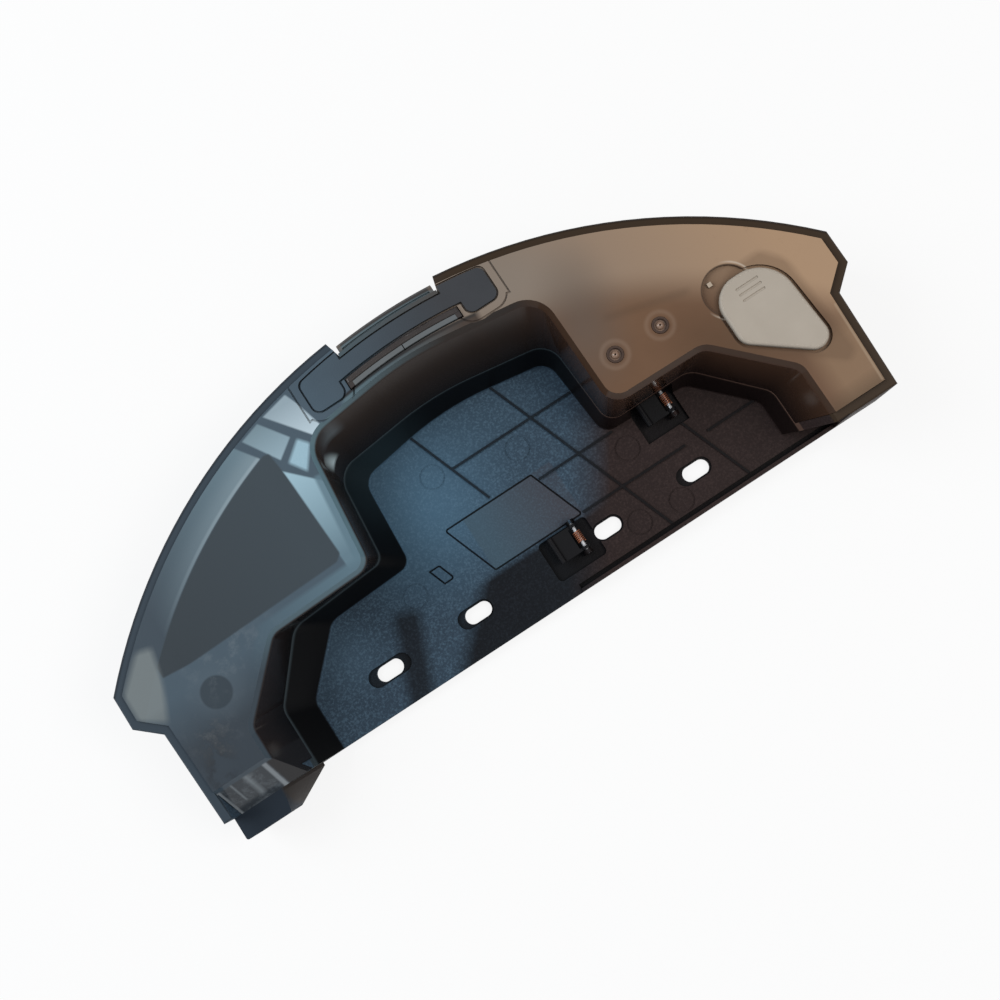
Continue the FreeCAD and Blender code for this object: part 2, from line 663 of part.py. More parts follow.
def base_tray():
    """Black moulding: outer wall, floor of both arms, the plate and the lower inner wall."""
    blank = rim_prism(0, 0, RIM_Z)
    blank = blank.makeChamfer(RIM_BEVEL, top_edges(blank, RIM_Z))
    blank = blank.cut([bay(0, PLATE_T), setback(0)])
    hollow = rim_prism(OUTER_WALL, PLATE_T, RIM_Z + OVER)
    hollow = hollow.cut([bay(INNER_WALL, -CUT_DOWN), setback(OUTER_WALL)])
    walls = blank.cut(hollow)
    cover_space = bay(INNER_WALL, -CUT_DOWN).common(rim_prism(OUTER_WALL, SEAM_Z, RIM_Z + OVER))
    walls = walls.cut(cover_space.cut(setback(OUTER_WALL)))
    ledge = rim_prism(OUTER_WALL, COVER_Z - LEDGE_T, COVER_Z).cut(
        rim_prism(OUTER_WALL + LEDGE_W, COVER_Z - LEDGE_T, COVER_Z))
    ledge = ledge.cut(bay(INNER_WALL + FIT_GAP, -CUT_DOWN))
    tray = walls.fuse([ledge, niche_wall()] + tray_inside())
    tray = tray.fuse(plate_ribs())
    tray = tray.cut(plate_cuts() + [niche()])
    tray = tray.fuse(catch_ears(FRONT_CATCH) + catch_ears(SIDE_CATCH))
    holes = [button_window(), slope_wedge(COVER_T + FIT_GAP, 0)]
    holes += [notch(side, BUTTON_LOW_Z - RUN_GAP, RIM_Z + OVER) for side in (-1, 1)]
    holes += [hook_sector(side, HOOK_GAP, HOOK_T) for side in (-1, 1)]
    holes += [rod(OUTLET_R, (side * OUTLET_X, OUTLET_Y, -OVER), UP, PLATE_T + 2 * OVER) for side in (-1, 1)]
    holes += [tube_solid(path, TUBE_R + FIT_GAP) for path in (suction_path(), right_path(), left_path())]
    return tray.cut(holes).removeSplitter()


def niche_wall():
    """Wall that closes the niche off from the water chamber behind it."""
    x = SIDE_CATCH[0]
    wall = block(x - NICHE_HALF_LEFT - NICHE_WALL, x + NICHE_HALF_RIGHT + NICHE_WALL, SIDE_CATCH[1],
                 NICHE_BACK_Y + NICHE_WALL, PLATE_T - RIB_H, SEAM_Z)
    return wall.cut(bay(0, PLATE_T))


def tank_cover():
    """Smoked lid: top skin, sloping window, the bay's upper wall and the filler neck."""
    inset = OUTER_WALL + FIT_GAP
    wall = bay(INNER_WALL, -CUT_DOWN).common(rim_prism(inset, SEAM_Z, COVER_TOP))
    window = slope_wedge(COVER_T, FIT_GAP).common(rim_prism(0, SEAM_Z, COVER_TOP))
    cover = rim_prism(inset, COVER_Z, COVER_TOP).fuse([wall, window])
    cover = cover.cut([bay(0, PLATE_T), slope_wedge(0, -FRONT_X), setback(OUTER_WALL + FIT_GAP)])
    neck = NECK_CENTRE + (COVER_Z - NECK_DEPTH,)
    cover = cover.fuse([rod(NECK_BORE_R + NECK_WALL, neck, UP, NECK_DEPTH + COVER_T / 2)] + vent_bosses())
    low = COVER_TOP - TRIM_RECESS
    holes = [latch_slot(), latch_ring(), trim(TRIM_GAP, low, COVER_TOP + OVER), button_relief(),
             prism(grown(PLUG_OUTLINE, PLUG_GROOVE), COVER_TOP - PLUG_RECESS, COVER_TOP + OVER),
             rod(NECK_BORE_R, (neck[0], neck[1], neck[2] - OVER), UP, NECK_DEPTH + COVER_T + 2 * OVER),
             thumb_recess()]
    holes += [notch(side, COVER_Z - OVER, COVER_TOP + OVER) for side in (-1, 1)]
    for x in VENT_X:
        holes.append(rod(VENT_R, (x, VENT_Y, COVER_TOP - VENT_SEAT), UP, VENT_SEAT + OVER))
        holes.append(rod(VENT_HOLE_R, (x, VENT_Y, COVER_Z - OVER), UP, COVER_T + 2 * OVER))
    return cover.cut(holes).removeSplitter()


def thumb_recess():
    """Round recess at the plug's tip, with a small square pin left standing in it."""
    low = COVER_TOP - THUMB_DEPTH
    x, y = THUMB_PIN
    half = THUMB_PIN_W / 2
    pin = block(x - half, x + half, y - half, y + half, low, low + THUMB_PIN_H)
    return rod(THUMB_R, THUMB_CENTRE + (low,), UP, THUMB_DEPTH + OVER).cut(pin)


def vent_bosses():
    """Collars under the cover round the two air vents."""
    bosses = []
    for x in VENT_X:
        boss = rod(VENT_BOSS_R, (x, VENT_Y, COVER_Z - VENT_BOSS_H), UP, VENT_BOSS_H + COVER_T / 2)
        bosses.append(boss.cut(rod(VENT_R, (x, VENT_Y, COVER_Z - VENT_BOSS_H), UP, VENT_BOSS_H)))
    return bosses


def vent_seal(x):
    """Soft vent seated in the cover: a lip round a bump with a pin hole."""
    seat = COVER_TOP - VENT_SEAT
    outer = VENT_R - FIT_GAP
    body = rod(outer, (x, VENT_Y, seat), UP, VENT_SEAT + RUN_GAP)
    body = body.cut(rod(outer - VENT_LIP_W, (x, VENT_Y, seat + VENT_FLOOR_T), UP, VENT_SEAT + OVER))
    bump = Part.makeSphere(VENT_BUMP_R, Vector(x, VENT_Y, seat + VENT_FLOOR_T - RUN_GAP))
    bump = bump.common(rod(VENT_BUMP_R, (x, VENT_Y, seat), UP, VENT_SEAT + OVER))
    return body.fuse(bump).cut(rod(VENT_PIN_R, (x, VENT_Y, COVER_Z), UP, COVER_T + OVER)).removeSplitter()


def latch_slot():
    """Slot in the cover that the latch bar comes up through."""
    inner = BAR_IN_R - INSERT_T - SLOT_GAP
    return arc_band(inner, BAR_OUT_R + SLOT_GAP, BAR_HALF + SLOT_GAP, COVER_Z - OVER, COVER_TOP + OVER)


def button_relief():
    """Cut in the cover's edge that leaves the button's top in sight."""
    inner = RIM_R - BUTTON_SET_BACK - BUTTON_T
    return arc_band(inner, RIM_R + OVER, BUTTON_HALF + BUTTON_SIDE_GAP, COVER_Z - OVER, COVER_TOP + OVER)


def latch_ring():
    """Narrow groove in the cover that runs round the trim plate at a distance."""
    low = COVER_TOP - RING_DEPTH
    return trim(RING_OFF + RING_W, low, COVER_TOP + OVER).cut(trim(RING_OFF, low, COVER_TOP + OVER))


def trim(grow, low, high):
    """Outline of the dark trim plate: the strip along the arc and its two wider pads."""
    body = arc_band(STRIP_LOW_R - grow, PAD_R + grow, PAD_OUT + grow, low, high)
    body = body.cut(arc_band(STRIP_R + grow, PAD_R + grow + OVER, PAD_STEP - grow, low, high))
    for side in (-1, 1):
        outer = LATCH_X + side * PAD_OUT
        inner = LATCH_X + side * PAD_IN
        pad = [(outer, PAD_LOW_Y, TRIM_CORNER_R), (inner, PAD_LOW_Y, TRIM_CORNER_R), (inner, STRIP_LOW_R, 0),
               (outer, STRIP_LOW_R - TRIM_CORNER_R, 0)]
        body = body.fuse(prism(grown(pad, grow), low, high))
    body = body.removeSplitter()
    return round_uprights(body, PAD_OUT + grow, TRIM_CORNER_R)


def round_uprights(body, half, radius):
    """Round the two outermost upper corners of the trim plate."""
    corners = []
    for edge in body.Edges:
        box = edge.BoundBox
        upright = box.XLength < TOUCH and box.YLength < TOUCH
        if upright and abs(abs(box.XMin - LATCH_X) - half) < TOUCH and box.YMin > STRIP_LOW_R:
            corners.append(edge)
    return body.makeFillet(radius, corners)


def latch_plate():
    """Dark trim plate of the latch."""
    low = COVER_TOP - TRIM_RECESS
    return trim(0, low, low + TRIM_T)


def release_button():
    """Curved press button in the back wall, with two cam stems and two spring cups."""
    outer = RIM_R - BUTTON_SET_BACK
    inner = outer - BUTTON_T
    top = COVER_Z - RUN_GAP
    button = arc_band(inner, outer, BUTTON_HALF, BUTTON_LOW_Z, top)
    rims = [edge for edge in top_edges(button, top) if edge.BoundBox.YMax > outer - TOUCH]
    button = button.makeChamfer(BUTTON_BEVEL, rims)
    adds = []
    cuts = [arc_band(inner - OVER, inner + BUTTON_SHELF_W, BUTTON_HALF - BUTTON_EAR_W,
                     top - BUTTON_SHELF_DROP, top + OVER)]
    for side in (-1, 1):
        x = LATCH_X + side * STEM_X
        adds.append(block(x - STEM_T / 2, x + STEM_T / 2, STEM_TIP_Y, inner, STEM_LOW_Z, STEM_HIGH_Z))
        cuts.append(cam_slot(x))
        x = LATCH_X + side * SPRING_X
        adds.append(rod(CUP_R, (x, CUP_FRONT_Y, SPRING_Z), ALONG, inner - CUP_FRONT_Y))
        cuts.append(rod(SPRING_R + SPRING_WIRE_R + RUN_GAP, (x, CUP_FRONT_Y - OVER, SPRING_Z), ALONG,
                        CUP_DEPTH + OVER))
    return button.fuse(adds).cut(cuts).removeSplitter()


def foot_y():
    """Depth of the latch bar's feet and of the cam pins, at rest."""
    middle = (BAR_IN_R + BAR_OUT_R) / 2
    return math.sqrt(middle ** 2 - STEM_X ** 2)


def cam_slot(x):
    """Slanted slot in one stem: the pin in it goes down as the button goes in."""
    wide = CAM_PIN_R + PIN_FIT
    start = Vector(x - STEM_T, foot_y(), CAM_Z)
    run = Vector(0, BUTTON_TRAVEL, -BAR_DROP)
    side = Vector(0, -run.z, run.y).normalize() * wide
    face = Part.Face(Part.makePolygon([start + side, start + run + side, start + run - side, start - side,
                                       start + side]))
    slot = face.extrude(Vector(2 * STEM_T, 0, 0))
    for end in (start, start + run):
        slot = slot.fuse(rod(wide, tuple(end), (1, 0, 0), 2 * STEM_T))
    return slot


def latch_bar():
    """Ridge that stands out of the slot, with two feet and a cam pin on each."""
    bar = arc_band(BAR_IN_R, BAR_OUT_R, BAR_HALF, BAR_LOW_Z, COVER_TOP + BAR_PROUD)
    bar = bar.makeFillet(INSERT_PROUD, top_edges(bar, COVER_TOP + BAR_PROUD))
    wrap = [BAR_IN_R - INSERT_T, BAR_IN_R + BAR_T / 2]
    lugs = arc_band(wrap[0], wrap[1], BAR_HALF, COVER_Z - INSERT_T, COVER_TOP + INSERT_PROUD)
    adds = [lugs.cut(arc_band(wrap[0] - OVER, wrap[1] + OVER, INSERT_HALF + PIN_FIT, 0, 2 * COVER_TOP))]
    for side in (-1, 1):
        face = STEM_X - STEM_T / 2 - RUN_GAP
        edges = sorted((LATCH_X + side * face, LATCH_X + side * (face - FOOT_T)))
        adds.append(block(edges[0], edges[1], foot_y() - FOOT_T / 2, foot_y() + FOOT_T / 2,
                          CAM_Z - CAM_PIN_R, BAR_LOW_Z + RUN_GAP))
        reach = FOOT_T / 2 + RUN_GAP + STEM_T + RUN_GAP
        start = (LATCH_X + side * (face - FOOT_T / 2), foot_y(), CAM_Z)
        adds.append(rod(CAM_PIN_R, start, (side, 0, 0), reach))
    return bar.fuse(adds).removeSplitter()


def latch_insert(side):
    """Soft grey strip on the front of one half of the latch bar."""
    strip = arc_band(BAR_IN_R - INSERT_T, BAR_IN_R - PIN_FIT, INSERT_HALF, COVER_Z - INSERT_T,
                     COVER_TOP + INSERT_PROUD)
    start = LATCH_X + side * RUN_GAP / 2
    end = LATCH_X + side * (INSERT_HALF + OVER)
    return strip.common(block(min(start, end), max(start, end), 0, RIM_R, 0, 2 * COVER_TOP))


def coil(radius, wire_r, pitch, length):
    """Round-wire coil along +Z from the origin."""
    helix = Part.makeHelix(pitch, length - 2 * wire_r, radius)
    profile = Part.Wire(Part.makeCircle(wire_r, Vector(radius, 0, 0), Vector(*ALONG)))
    spring = Part.Wire(helix.Edges).makePipeShell([profile], True, True)
    spring.translate(Vector(0, 0, wire_r))
    return spring


def button_spring(side):
    """Coil spring between the tray's post and the button's cup."""
    length = CUP_FRONT_Y + CUP_DEPTH - SPRING_SEAT_Y - 2 * PIN_FIT
    spring = coil(SPRING_R, SPRING_WIRE_R, SPRING_PITCH, length)
    spring.rotate(Vector(0, 0, 0), Vector(1, 0, 0), -90)
    spring.translate(Vector(LATCH_X + side * SPRING_X, SPRING_SEAT_Y + PIN_FIT, SPRING_Z))
    return spring


def filler_plug():
    """Soft teardrop plug with its hollow stem in the filler neck and three finger grooves."""
    seat = COVER_TOP - PLUG_RECESS + PIN_FIT
    cap = prism(PLUG_OUTLINE, seat, seat + PLUG_T)
    top = seat + PLUG_T
    cap = cap.makeFillet(PLUG_ROUND, top_edges(cap, top))
    stem = Part.makeCone(STEM_TIP_R, STEM_TOP_R, STEM_DEPTH, Vector(*NECK_CENTRE, seat - STEM_DEPTH))
    grooves = [rod(STEM_TIP_R - STEM_WALL, NECK_CENTRE + (seat - STEM_DEPTH - OVER,), UP,
                   STEM_DEPTH + OVER + PLUG_T - STEM_CAP_T)]
    for step in range(GRIP_COUNT):
        y = GRIP_Y - step * GRIP_PITCH
        grooves.append(obround(NECK_CENTRE[0], y, GRIP_LEN, GRIP_W, top - GRIP_SINK, top + OVER))
    return cap.fuse(stem).cut(grooves).removeSplitter()


def dry_lid():
    """Dark lid of the dry compartment, with a tongue inside its walls."""
    inner = DRY_WALL + FIT_GAP
    tongue = dry_prism(-inner, lid_z() - DRY_TONGUE_H, lid_z()).cut(
        dry_prism(-inner - DRY_WALL, lid_z() - DRY_TONGUE_H, lid_z()))
    return dry_prism(0, lid_z(), lid_z() + DRY_LID_T).fuse(tongue).removeSplitter()


def control_board():
    """Circuit board on its two bosses, with a chip, a socket and a row of small parts."""
    x, y = BOARD_CENTRE
    board = block(x - BOARD_LEN / 2, x + BOARD_LEN / 2, y - BOARD_WIDE / 2, y + BOARD_WIDE / 2,
                  BOARD_Z, BOARD_Z + BOARD_T)
    top = BOARD_Z + BOARD_T
    half = CHIP_SIDE / 2
    adds = [block(x - half, x + half, y - half, y + half, top, top + CHIP_T)]
    for side in (-1, 1):
        adds.append(block(x + side * CHIP_SIDE - CHIP_T, x + side * CHIP_SIDE + CHIP_T,
                          y - half, y + half, top, top + 2 * CHIP_T))
    clear_r = SCREW_R + FIT_GAP
    holes = [rod(clear_r, (px, py, BOARD_Z - OVER), UP, BOARD_T + 2 * OVER) for px, py in board_posts()]
    return board.fuse(adds).cut(holes).removeSplitter()


def board_screws():
    """Pan-head screws that hold the board."""
    screws = []
    for x, y in board_posts():
        top = BOARD_Z + BOARD_T
        shank = rod(SCREW_R - SCREW_CLEAR, (x, y, top - SCREW_LEN), UP, SCREW_LEN)
        screws.append(shank.fuse(rod(SCREW_HEAD_R, (x, y, top), UP, SCREW_HEAD_H)).removeSplitter())
    return Part.Compound(screws)


def pump_motor():
    """Small direct-current motor lying along Y in its two cradles."""
    x, y = MOTOR_CENTRE
    start = y - MOTOR_LEN / 2
    motor = rod(MOTOR_R, (x, start, motor_z()), ALONG, MOTOR_LEN)
    neck = rod(MOTOR_R / 2, (x, start + MOTOR_LEN, motor_z()), ALONG, CRADLE_T / 2)
    return motor.fuse(neck).removeSplitter()


def head_face_y():
    return MOTOR_CENTRE[1] - MOTOR_LEN / 2


def pump_head():
    """Pump head in front of the motor, standing on the floor."""
    x = MOTOR_CENTRE[0]
    half = PUMP_HEAD_SIDE / 2
    y = head_face_y()
    head = block(x - half, x + half, y - PUMP_HEAD_LEN, y, PLATE_T, motor_z() + half)
    uprights = [edge for edge in head.Edges if edge.BoundBox.ZLength > half]
    return head.makeFillet(CRADLE_T, uprights)


def tube_solid(path, radius):
    """Tube of one radius along a rounded open path at the height of the water tubes."""
    edges = []
    stop = Vector(path[0][0], path[0][1], 0)
    for i in range(1, len(path) - 1):
        start, middle, end = arc_corner(path[i - 1], path[i], path[i + 1], path[i][2])
        edges.append(Part.LineSegment(stop, start).toShape())
        edges.append(Part.Arc(start, middle, end).toShape())
        stop = end
    edges.append(Part.LineSegment(stop, Vector(path[-1][0], path[-1][1], 0)).toShape())
    spine = Part.Wire(edges)
    first = Vector(path[1][0] - path[0][0], path[1][1] - path[0][1], 0)
    ring = Part.Wire(Part.makeCircle(radius, Vector(path[0][0], path[0][1], 0), first))
    tube = spine.makePipeShell([ring], True, False)
    tube.translate(Vector(0, 0, TUBE_Z))
    return tube


def grip_path(offset, start_y):
    """Corners of a run that leaves the pump and follows the grip's foot at an offset."""
    follow = grown(BAY_FOOT, offset)
    low, left, middle, right = follow[3], follow[4], follow[5], follow[6]
    share = (start_y - low[1]) / (left[1] - low[1])
    turn_x = low[0] + share * (left[0] - low[0])
    start_x = MOTOR_CENTRE[0] + PUMP_HEAD_SIDE / 2
    return [(start_x, start_y, 0), (turn_x, start_y, TUBE_BEND_R - TUBE_R), left, middle, right]


def suction_path():
    turn_x = RIGHT_TURNS[0][0] + 2 * TUBE_R + TUBE_APART
    y = FILTER_CENTRE[1]
    run_in = [(turn_x, y, TUBE_BEND_R), (FILTER_CENTRE[0] - FILTER_R, y, 0)]
    return grip_path(SUCTION_OFF, SUCTION_START_Y) + run_in


def right_path():
    turns = [(x, y, TUBE_BEND_R) for x, y in RIGHT_TURNS]
    return grip_path(DELIVERY_OFF, DELIVERY_START_Y) + turns + [outlet_stop(1, RIGHT_TURNS[-1])]


def left_path():
    start_x = MOTOR_CENTRE[0]
    turn = (-OUTLET_X + TUBE_BEND_R, LEFT_RUN_Y, TUBE_BEND_R)
    first_turn = (start_x, LEFT_RUN_Y, TUBE_BEND_R - TUBE_R)
    return [(start_x, head_face_y() - PUMP_HEAD_LEN, 0), first_turn, turn, outlet_stop(-1, turn)]


def outlet_stop(side, come_from):
    """Where a tube that comes from a point meets the side of its outlet nozzle."""
    axis = Vector(side * OUTLET_X, OUTLET_Y, 0)
    back = Vector(come_from[0], come_from[1], 0) - axis
    stop = axis + back.normalize() * (OUTLET_R + OUTLET_FLANGE)
    return (stop.x, stop.y, 0)


def water_tube(path):
    return tube_solid(path, TUBE_R).cut(tube_solid(path, TUBE_BORE_R))


def inlet_filter():
    """Filter cage at the end of the suction tube, standing on the floor."""
    x, y = FILTER_CENTRE
    cage = rod(FILTER_R, (x, y, PLATE_T), UP, FILTER_LEN)
    cuts = []
    for turn in range(FILTER_SLOTS):
        half = FILTER_SLOT_W / 2
        cut = block(FILTER_R - FILTER_WALL, FILTER_R + OVER, -half, half, 0, FILTER_LEN / 2)
        cut.rotate(Vector(0, 0, 0), Vector(*UP), turn * 360.0 / FILTER_SLOTS)
        cut.translate(Vector(x, y, PLATE_T + FILTER_LEN / 4))
        cuts.append(cut)
    return cage.cut(cuts)


def outlet_nozzle(side):
    """Soft nozzle through the floor, flanged above it."""
    x = side * OUTLET_X
    body = rod(OUTLET_R - FIT_GAP, (x, OUTLET_Y, RUN_GAP), UP, PLATE_T)
    body = body.fuse(rod(OUTLET_R + OUTLET_FLANGE, (x, OUTLET_Y, PLATE_T), UP, OUTLET_H))
    bore = rod(OUTLET_BORE_R, (x, OUTLET_Y, 0), UP, PLATE_T + OUTLET_H / 2)
    return body.cut(bore).removeSplitter()


def port_x():
    return (BLOCK_LEFT_X + BLOCK_RIGHT_X) / 2


def port_z():
    return (BLOCK_Z + BLOCK_TOP_Z) / 2


def connector_block():
    """Housing of the electrical connector that reaches into the machine."""
    root_y = FRONT_Y - PORT_WALL / 2
    wires = []
    for z, root_x in ((BLOCK_Z, BLOCK_ROOT_X), (BLOCK_TOP_Z, BLOCK_SHOULDER_X)):
        corners = [(BLOCK_LEFT_X, FRONT_Y, 0), (BLOCK_LEFT_X, BLOCK_FRONT_Y, BLOCK_ROUND),
                   (BLOCK_RIGHT_X, BLOCK_FRONT_Y, BLOCK_ROUND), (root_x, root_y, 0), (root_x, FRONT_Y, 0)]
        wires.append(rounded_wire(corners, z))
    body = Part.makeLoft(wires, True, True)
    port = block(port_x() - PORT_W / 2, port_x() + PORT_W / 2, BLOCK_FRONT_Y - OVER,
                 BLOCK_FRONT_Y + PORT_DEPTH, port_z() - PORT_H / 2, port_z() + PORT_H / 2)
    return body.cut(port)


def connector_contacts():
    """Row of plated blades in the connector's recess."""
    blades = []
    back = BLOCK_FRONT_Y + PORT_DEPTH
    for i in range(CONTACT_COUNT):
        x = port_x() + (i - (CONTACT_COUNT - 1) / 2) * CONTACT_PITCH
        blades.append(block(x - CONTACT_W / 2, x + CONTACT_W / 2, back - CONTACT_LEN, back,
                            port_z() - CONTACT_T / 2, port_z() + CONTACT_T / 2))
    return Part.Compound(blades)


def catch_lever(catch):
    """Catch with two eyes on its pin, an arm to the left and a nose on the arm's end."""
    x, y = catch
    z = catch_pin_z()
    half = CATCH_SPAN / 2
    left = x - CATCH_ARM
    root = x - CATCH_COIL_R - CATCH_WIRE_R - 2 * RUN_GAP
    body = block(left, root, y - half, y + half, z - CATCH_ARM_T / 2, z + CATCH_ARM_T / 2)
    body = body.fuse(rod(CATCH_NOSE_H / 2, (left + CATCH_NOSE_H / 2, y - half, z + CATCH_ARM_T / 2), ALONG,
                         CATCH_SPAN))
    for low_y in (y - half, y + half - CATCH_EYE_T):
        body = body.fuse(block(left, x, low_y, low_y + CATCH_EYE_T, z - CATCH_ARM_T / 2, z + CATCH_ARM_T / 2))
        body = body.fuse(rod(CATCH_EYE_R, (x, low_y, z), ALONG, CATCH_EYE_T))
    hole = rod(CATCH_PIN_R + PIN_FIT, (x, y - CATCH_SPAN, z), ALONG, 2 * CATCH_SPAN)
    return body.cut(hole).removeSplitter()


def catch_pins():
    """Steel pins that the catches turn on, pressed into their ears."""
    reach = CATCH_SPAN / 2 + RUN_GAP + CATCH_EAR_T
    return Part.Compound([rod(CATCH_PIN_R, (x, y - reach, catch_pin_z()), ALONG, 2 * reach)
                          for x, y in (FRONT_CATCH, SIDE_CATCH)])


def catch_springs():
    """Copper-coloured torsion springs round the pins, between the eyes of each catch."""
    springs = []
    length = CATCH_PITCH * CATCH_COIL_TURNS + 2 * CATCH_WIRE_R
    for x, y in (FRONT_CATCH, SIDE_CATCH):
        spring = coil(CATCH_COIL_R, CATCH_WIRE_R, CATCH_PITCH, length)
        spring.rotate(Vector(0, 0, 0), Vector(1, 0, 0), -90)
        spring.translate(Vector(x, y - length / 2, catch_pin_z()))
        springs.append(spring)
    return Part.Compound(springs)


def write(name, shape):
    """Move a finished solid to the tank's own origin and save it."""
    placed = shape.copy()
    placed.translate(Vector(0, -MID_Y, 0))
    placed.exportStep("parts/" + name + ".step")
    print(name, len(placed.Solids), placed.isValid(), round(placed.Volume, 1))


os.makedirs("parts", exist_ok=True)
write("base_tray", base_tray())
write("tank_cover", tank_cover())
write("latch_plate", latch_plate())
write("release_button", release_button())
write("latch_bar", latch_bar())
write("filler_plug", filler_plug())
write("dry_lid", dry_lid())
write("control_board", control_board())
write("board_screws", board_screws())
write("pump_motor", pump_motor())
write("pump_head", pump_head())
write("suction_tube", water_tube(suction_path()))
write("delivery_tube_right", water_tube(right_path()))
write("delivery_tube_left", water_tube(left_path()))
write("inlet_filter", inlet_filter())
write("connector_block", connector_block())
write("connector_contacts", connector_contacts())
write("front_catch", catch_lever(FRONT_CATCH))
write("side_catch", catch_lever(SIDE_CATCH))
write("catch_pins", catch_pins())
write("catch_springs", catch_springs())
for side_name, side_sign in (("left", -1), ("right", 1)):
    write("latch_insert_" + side_name, latch_insert(side_sign))
    write("button_spring_" + side_name, button_spring(side_sign))
    write("outlet_nozzle_" + side_name, outlet_nozzle(side_sign))
    write("hook_strip_" + side_name, hook_sector(side_sign, 0, HOOK_T))
    write("vent_seal_" + side_name, vent_seal(VENT_X[(side_sign + 1) // 2]))
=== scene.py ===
import math

import bpy
from mathutils import Matrix, Vector

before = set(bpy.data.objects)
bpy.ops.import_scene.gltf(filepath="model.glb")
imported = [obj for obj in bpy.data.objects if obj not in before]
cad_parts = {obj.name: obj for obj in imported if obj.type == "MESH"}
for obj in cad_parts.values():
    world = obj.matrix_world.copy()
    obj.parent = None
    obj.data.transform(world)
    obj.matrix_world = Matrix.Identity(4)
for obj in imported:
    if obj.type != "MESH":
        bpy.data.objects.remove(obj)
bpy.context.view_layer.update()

# Limits of x, y, z and of the radius are in metres in the part's own frame, with y written as its distance
# from the outer arc's centre plus ARC_Y. Spots, rings, stripes, lines and polygons are in millimetres about
# that centre, which lies on x = 0 at y = ARC_Y. Colours are sRGB, 0 to 255.
ARC_Y = -0.11775
MM_PER_M = 1000
SOFT_EDGE = 0.0003

# Tray
RIM_TOP = 0.032
RIM_SHADE_R = (0.1738, 0.1746)
OUTER_SKIN_R = 0.1748
FACES_UP = 0.9
PLATE_SKIN = 0.0039
RIB_TOPS = (0.0033, 0.0038)
SUNK_BELOW = 0.0026
LOWER_WALL = (0.0037, 0.0158)
WALL_LIT_ABOVE = 0.0134
PANEL_X = (-0.0118, 0.0218)
PANEL_Y = (0.0892, 0.1092)
PANEL_TOP = 0.0029

# Cover
COVER_UP = 0.985
COVER_FLAT_Z = 0.0314
LATCH_X = (-0.0158, 0.0208)
LATCH_R = 0.1678
BAR_X = (-0.022, 0.027)
BAR_R = 0.1587
BAR_LINE_R = (0.1560, 0.1577)
PANE_BACK = 0.0783
PANE_RIGHT = -0.0995
PANE_FOOT = 0.0195
OPAQUE, SMOKED = 1.0, 0.9
FIELD_R = 0.1635
BAND_FADE_R = (0.1632, 0.1638)
DARK_FIELD = [(-103.5, 114.0), (-49.7, 115.5), (-47.5, 117.3), (-48.7, 147.5), (-49.6, 154.7),
              (-112.6, 174.0), (-112.6, 114.9)]
WINDOW_OUTER = [(-34.9, 152.0), (-31.6, 153.8), (-34.2, 163.6), (-35.8, 167.4), (-45.1, 165.3)]
WINDOW_MIDDLE = [(-47.5, 151.1), (-41.4, 155.5), (-47.7, 164.5), (-54.5, 162.4)]
WINDOW_BAY = [(-42.4, 143.8), (-37.3, 150.6), (-39.9, 153.8), (-45.9, 149.0)]
LEFT_TIP = [(-125.6, 107.8), (-115.8, 101.1), (-113.2, 113.9), (-108.6, 123.8), (-115.6, 125.8),
            (-125.6, 116.6)]
ROUND_PLUG = [(86.0, 102.0), (88.0, 100.4), (111.5, 81.2), (115.6, 83.6), (113.8, 118.0),
              (108.5, 124.6), (97.0, 124.6), (86.0, 116.0)]
THUMB_CENTRE = (93.9, 119.6)
THUMB_R = 7.9
THUMB_PIN = (90.3, 124.1)

# Vents
VENT_X = (54.8, 71.0)
VENT_Y = 122.0
VENT_REACH = 3.4

# Grain, detail and roughness of the noise that several moulded parts share
FINE_GRAIN = (1800.0, 3.0, 0.6)
CLOUDS = (60.0, 3.0, 0.5)

# The colour sockets of Blender's Mix node
MIX_FIRST, MIX_SECOND, MIX_RESULT = 6, 7, 2

# Camera, floor and light
LENS = 50.4
SENSOR = 36.0
CLIP = (0.01, 10.0)
CAMERA_PLACE = (-0.0002, -0.06075, 0.4508)
CAMERA_RIGHT = (0.8368, -0.5445, -0.0579)
CAMERA_BACK = (-0.0043, -0.1122, 0.9937)
FLOOR_HALF = 3.0
FLOOR_GREY = 235
FLOOR_GLOW = 0.85
SKY = (0.9, 0.94, 1.0, 1)
SKY_STRENGTH = 0.42
LAMPS = [  # name, place, size, power, colour
    ("window", (-0.6, 0.5, 0.7), 0.7, 6.6, (0.9, 0.96, 1.0)),
    ("lamp", (0.5, -0.3, 0.9), 0.5, 4.4, (1.0, 0.93, 0.85)),
]


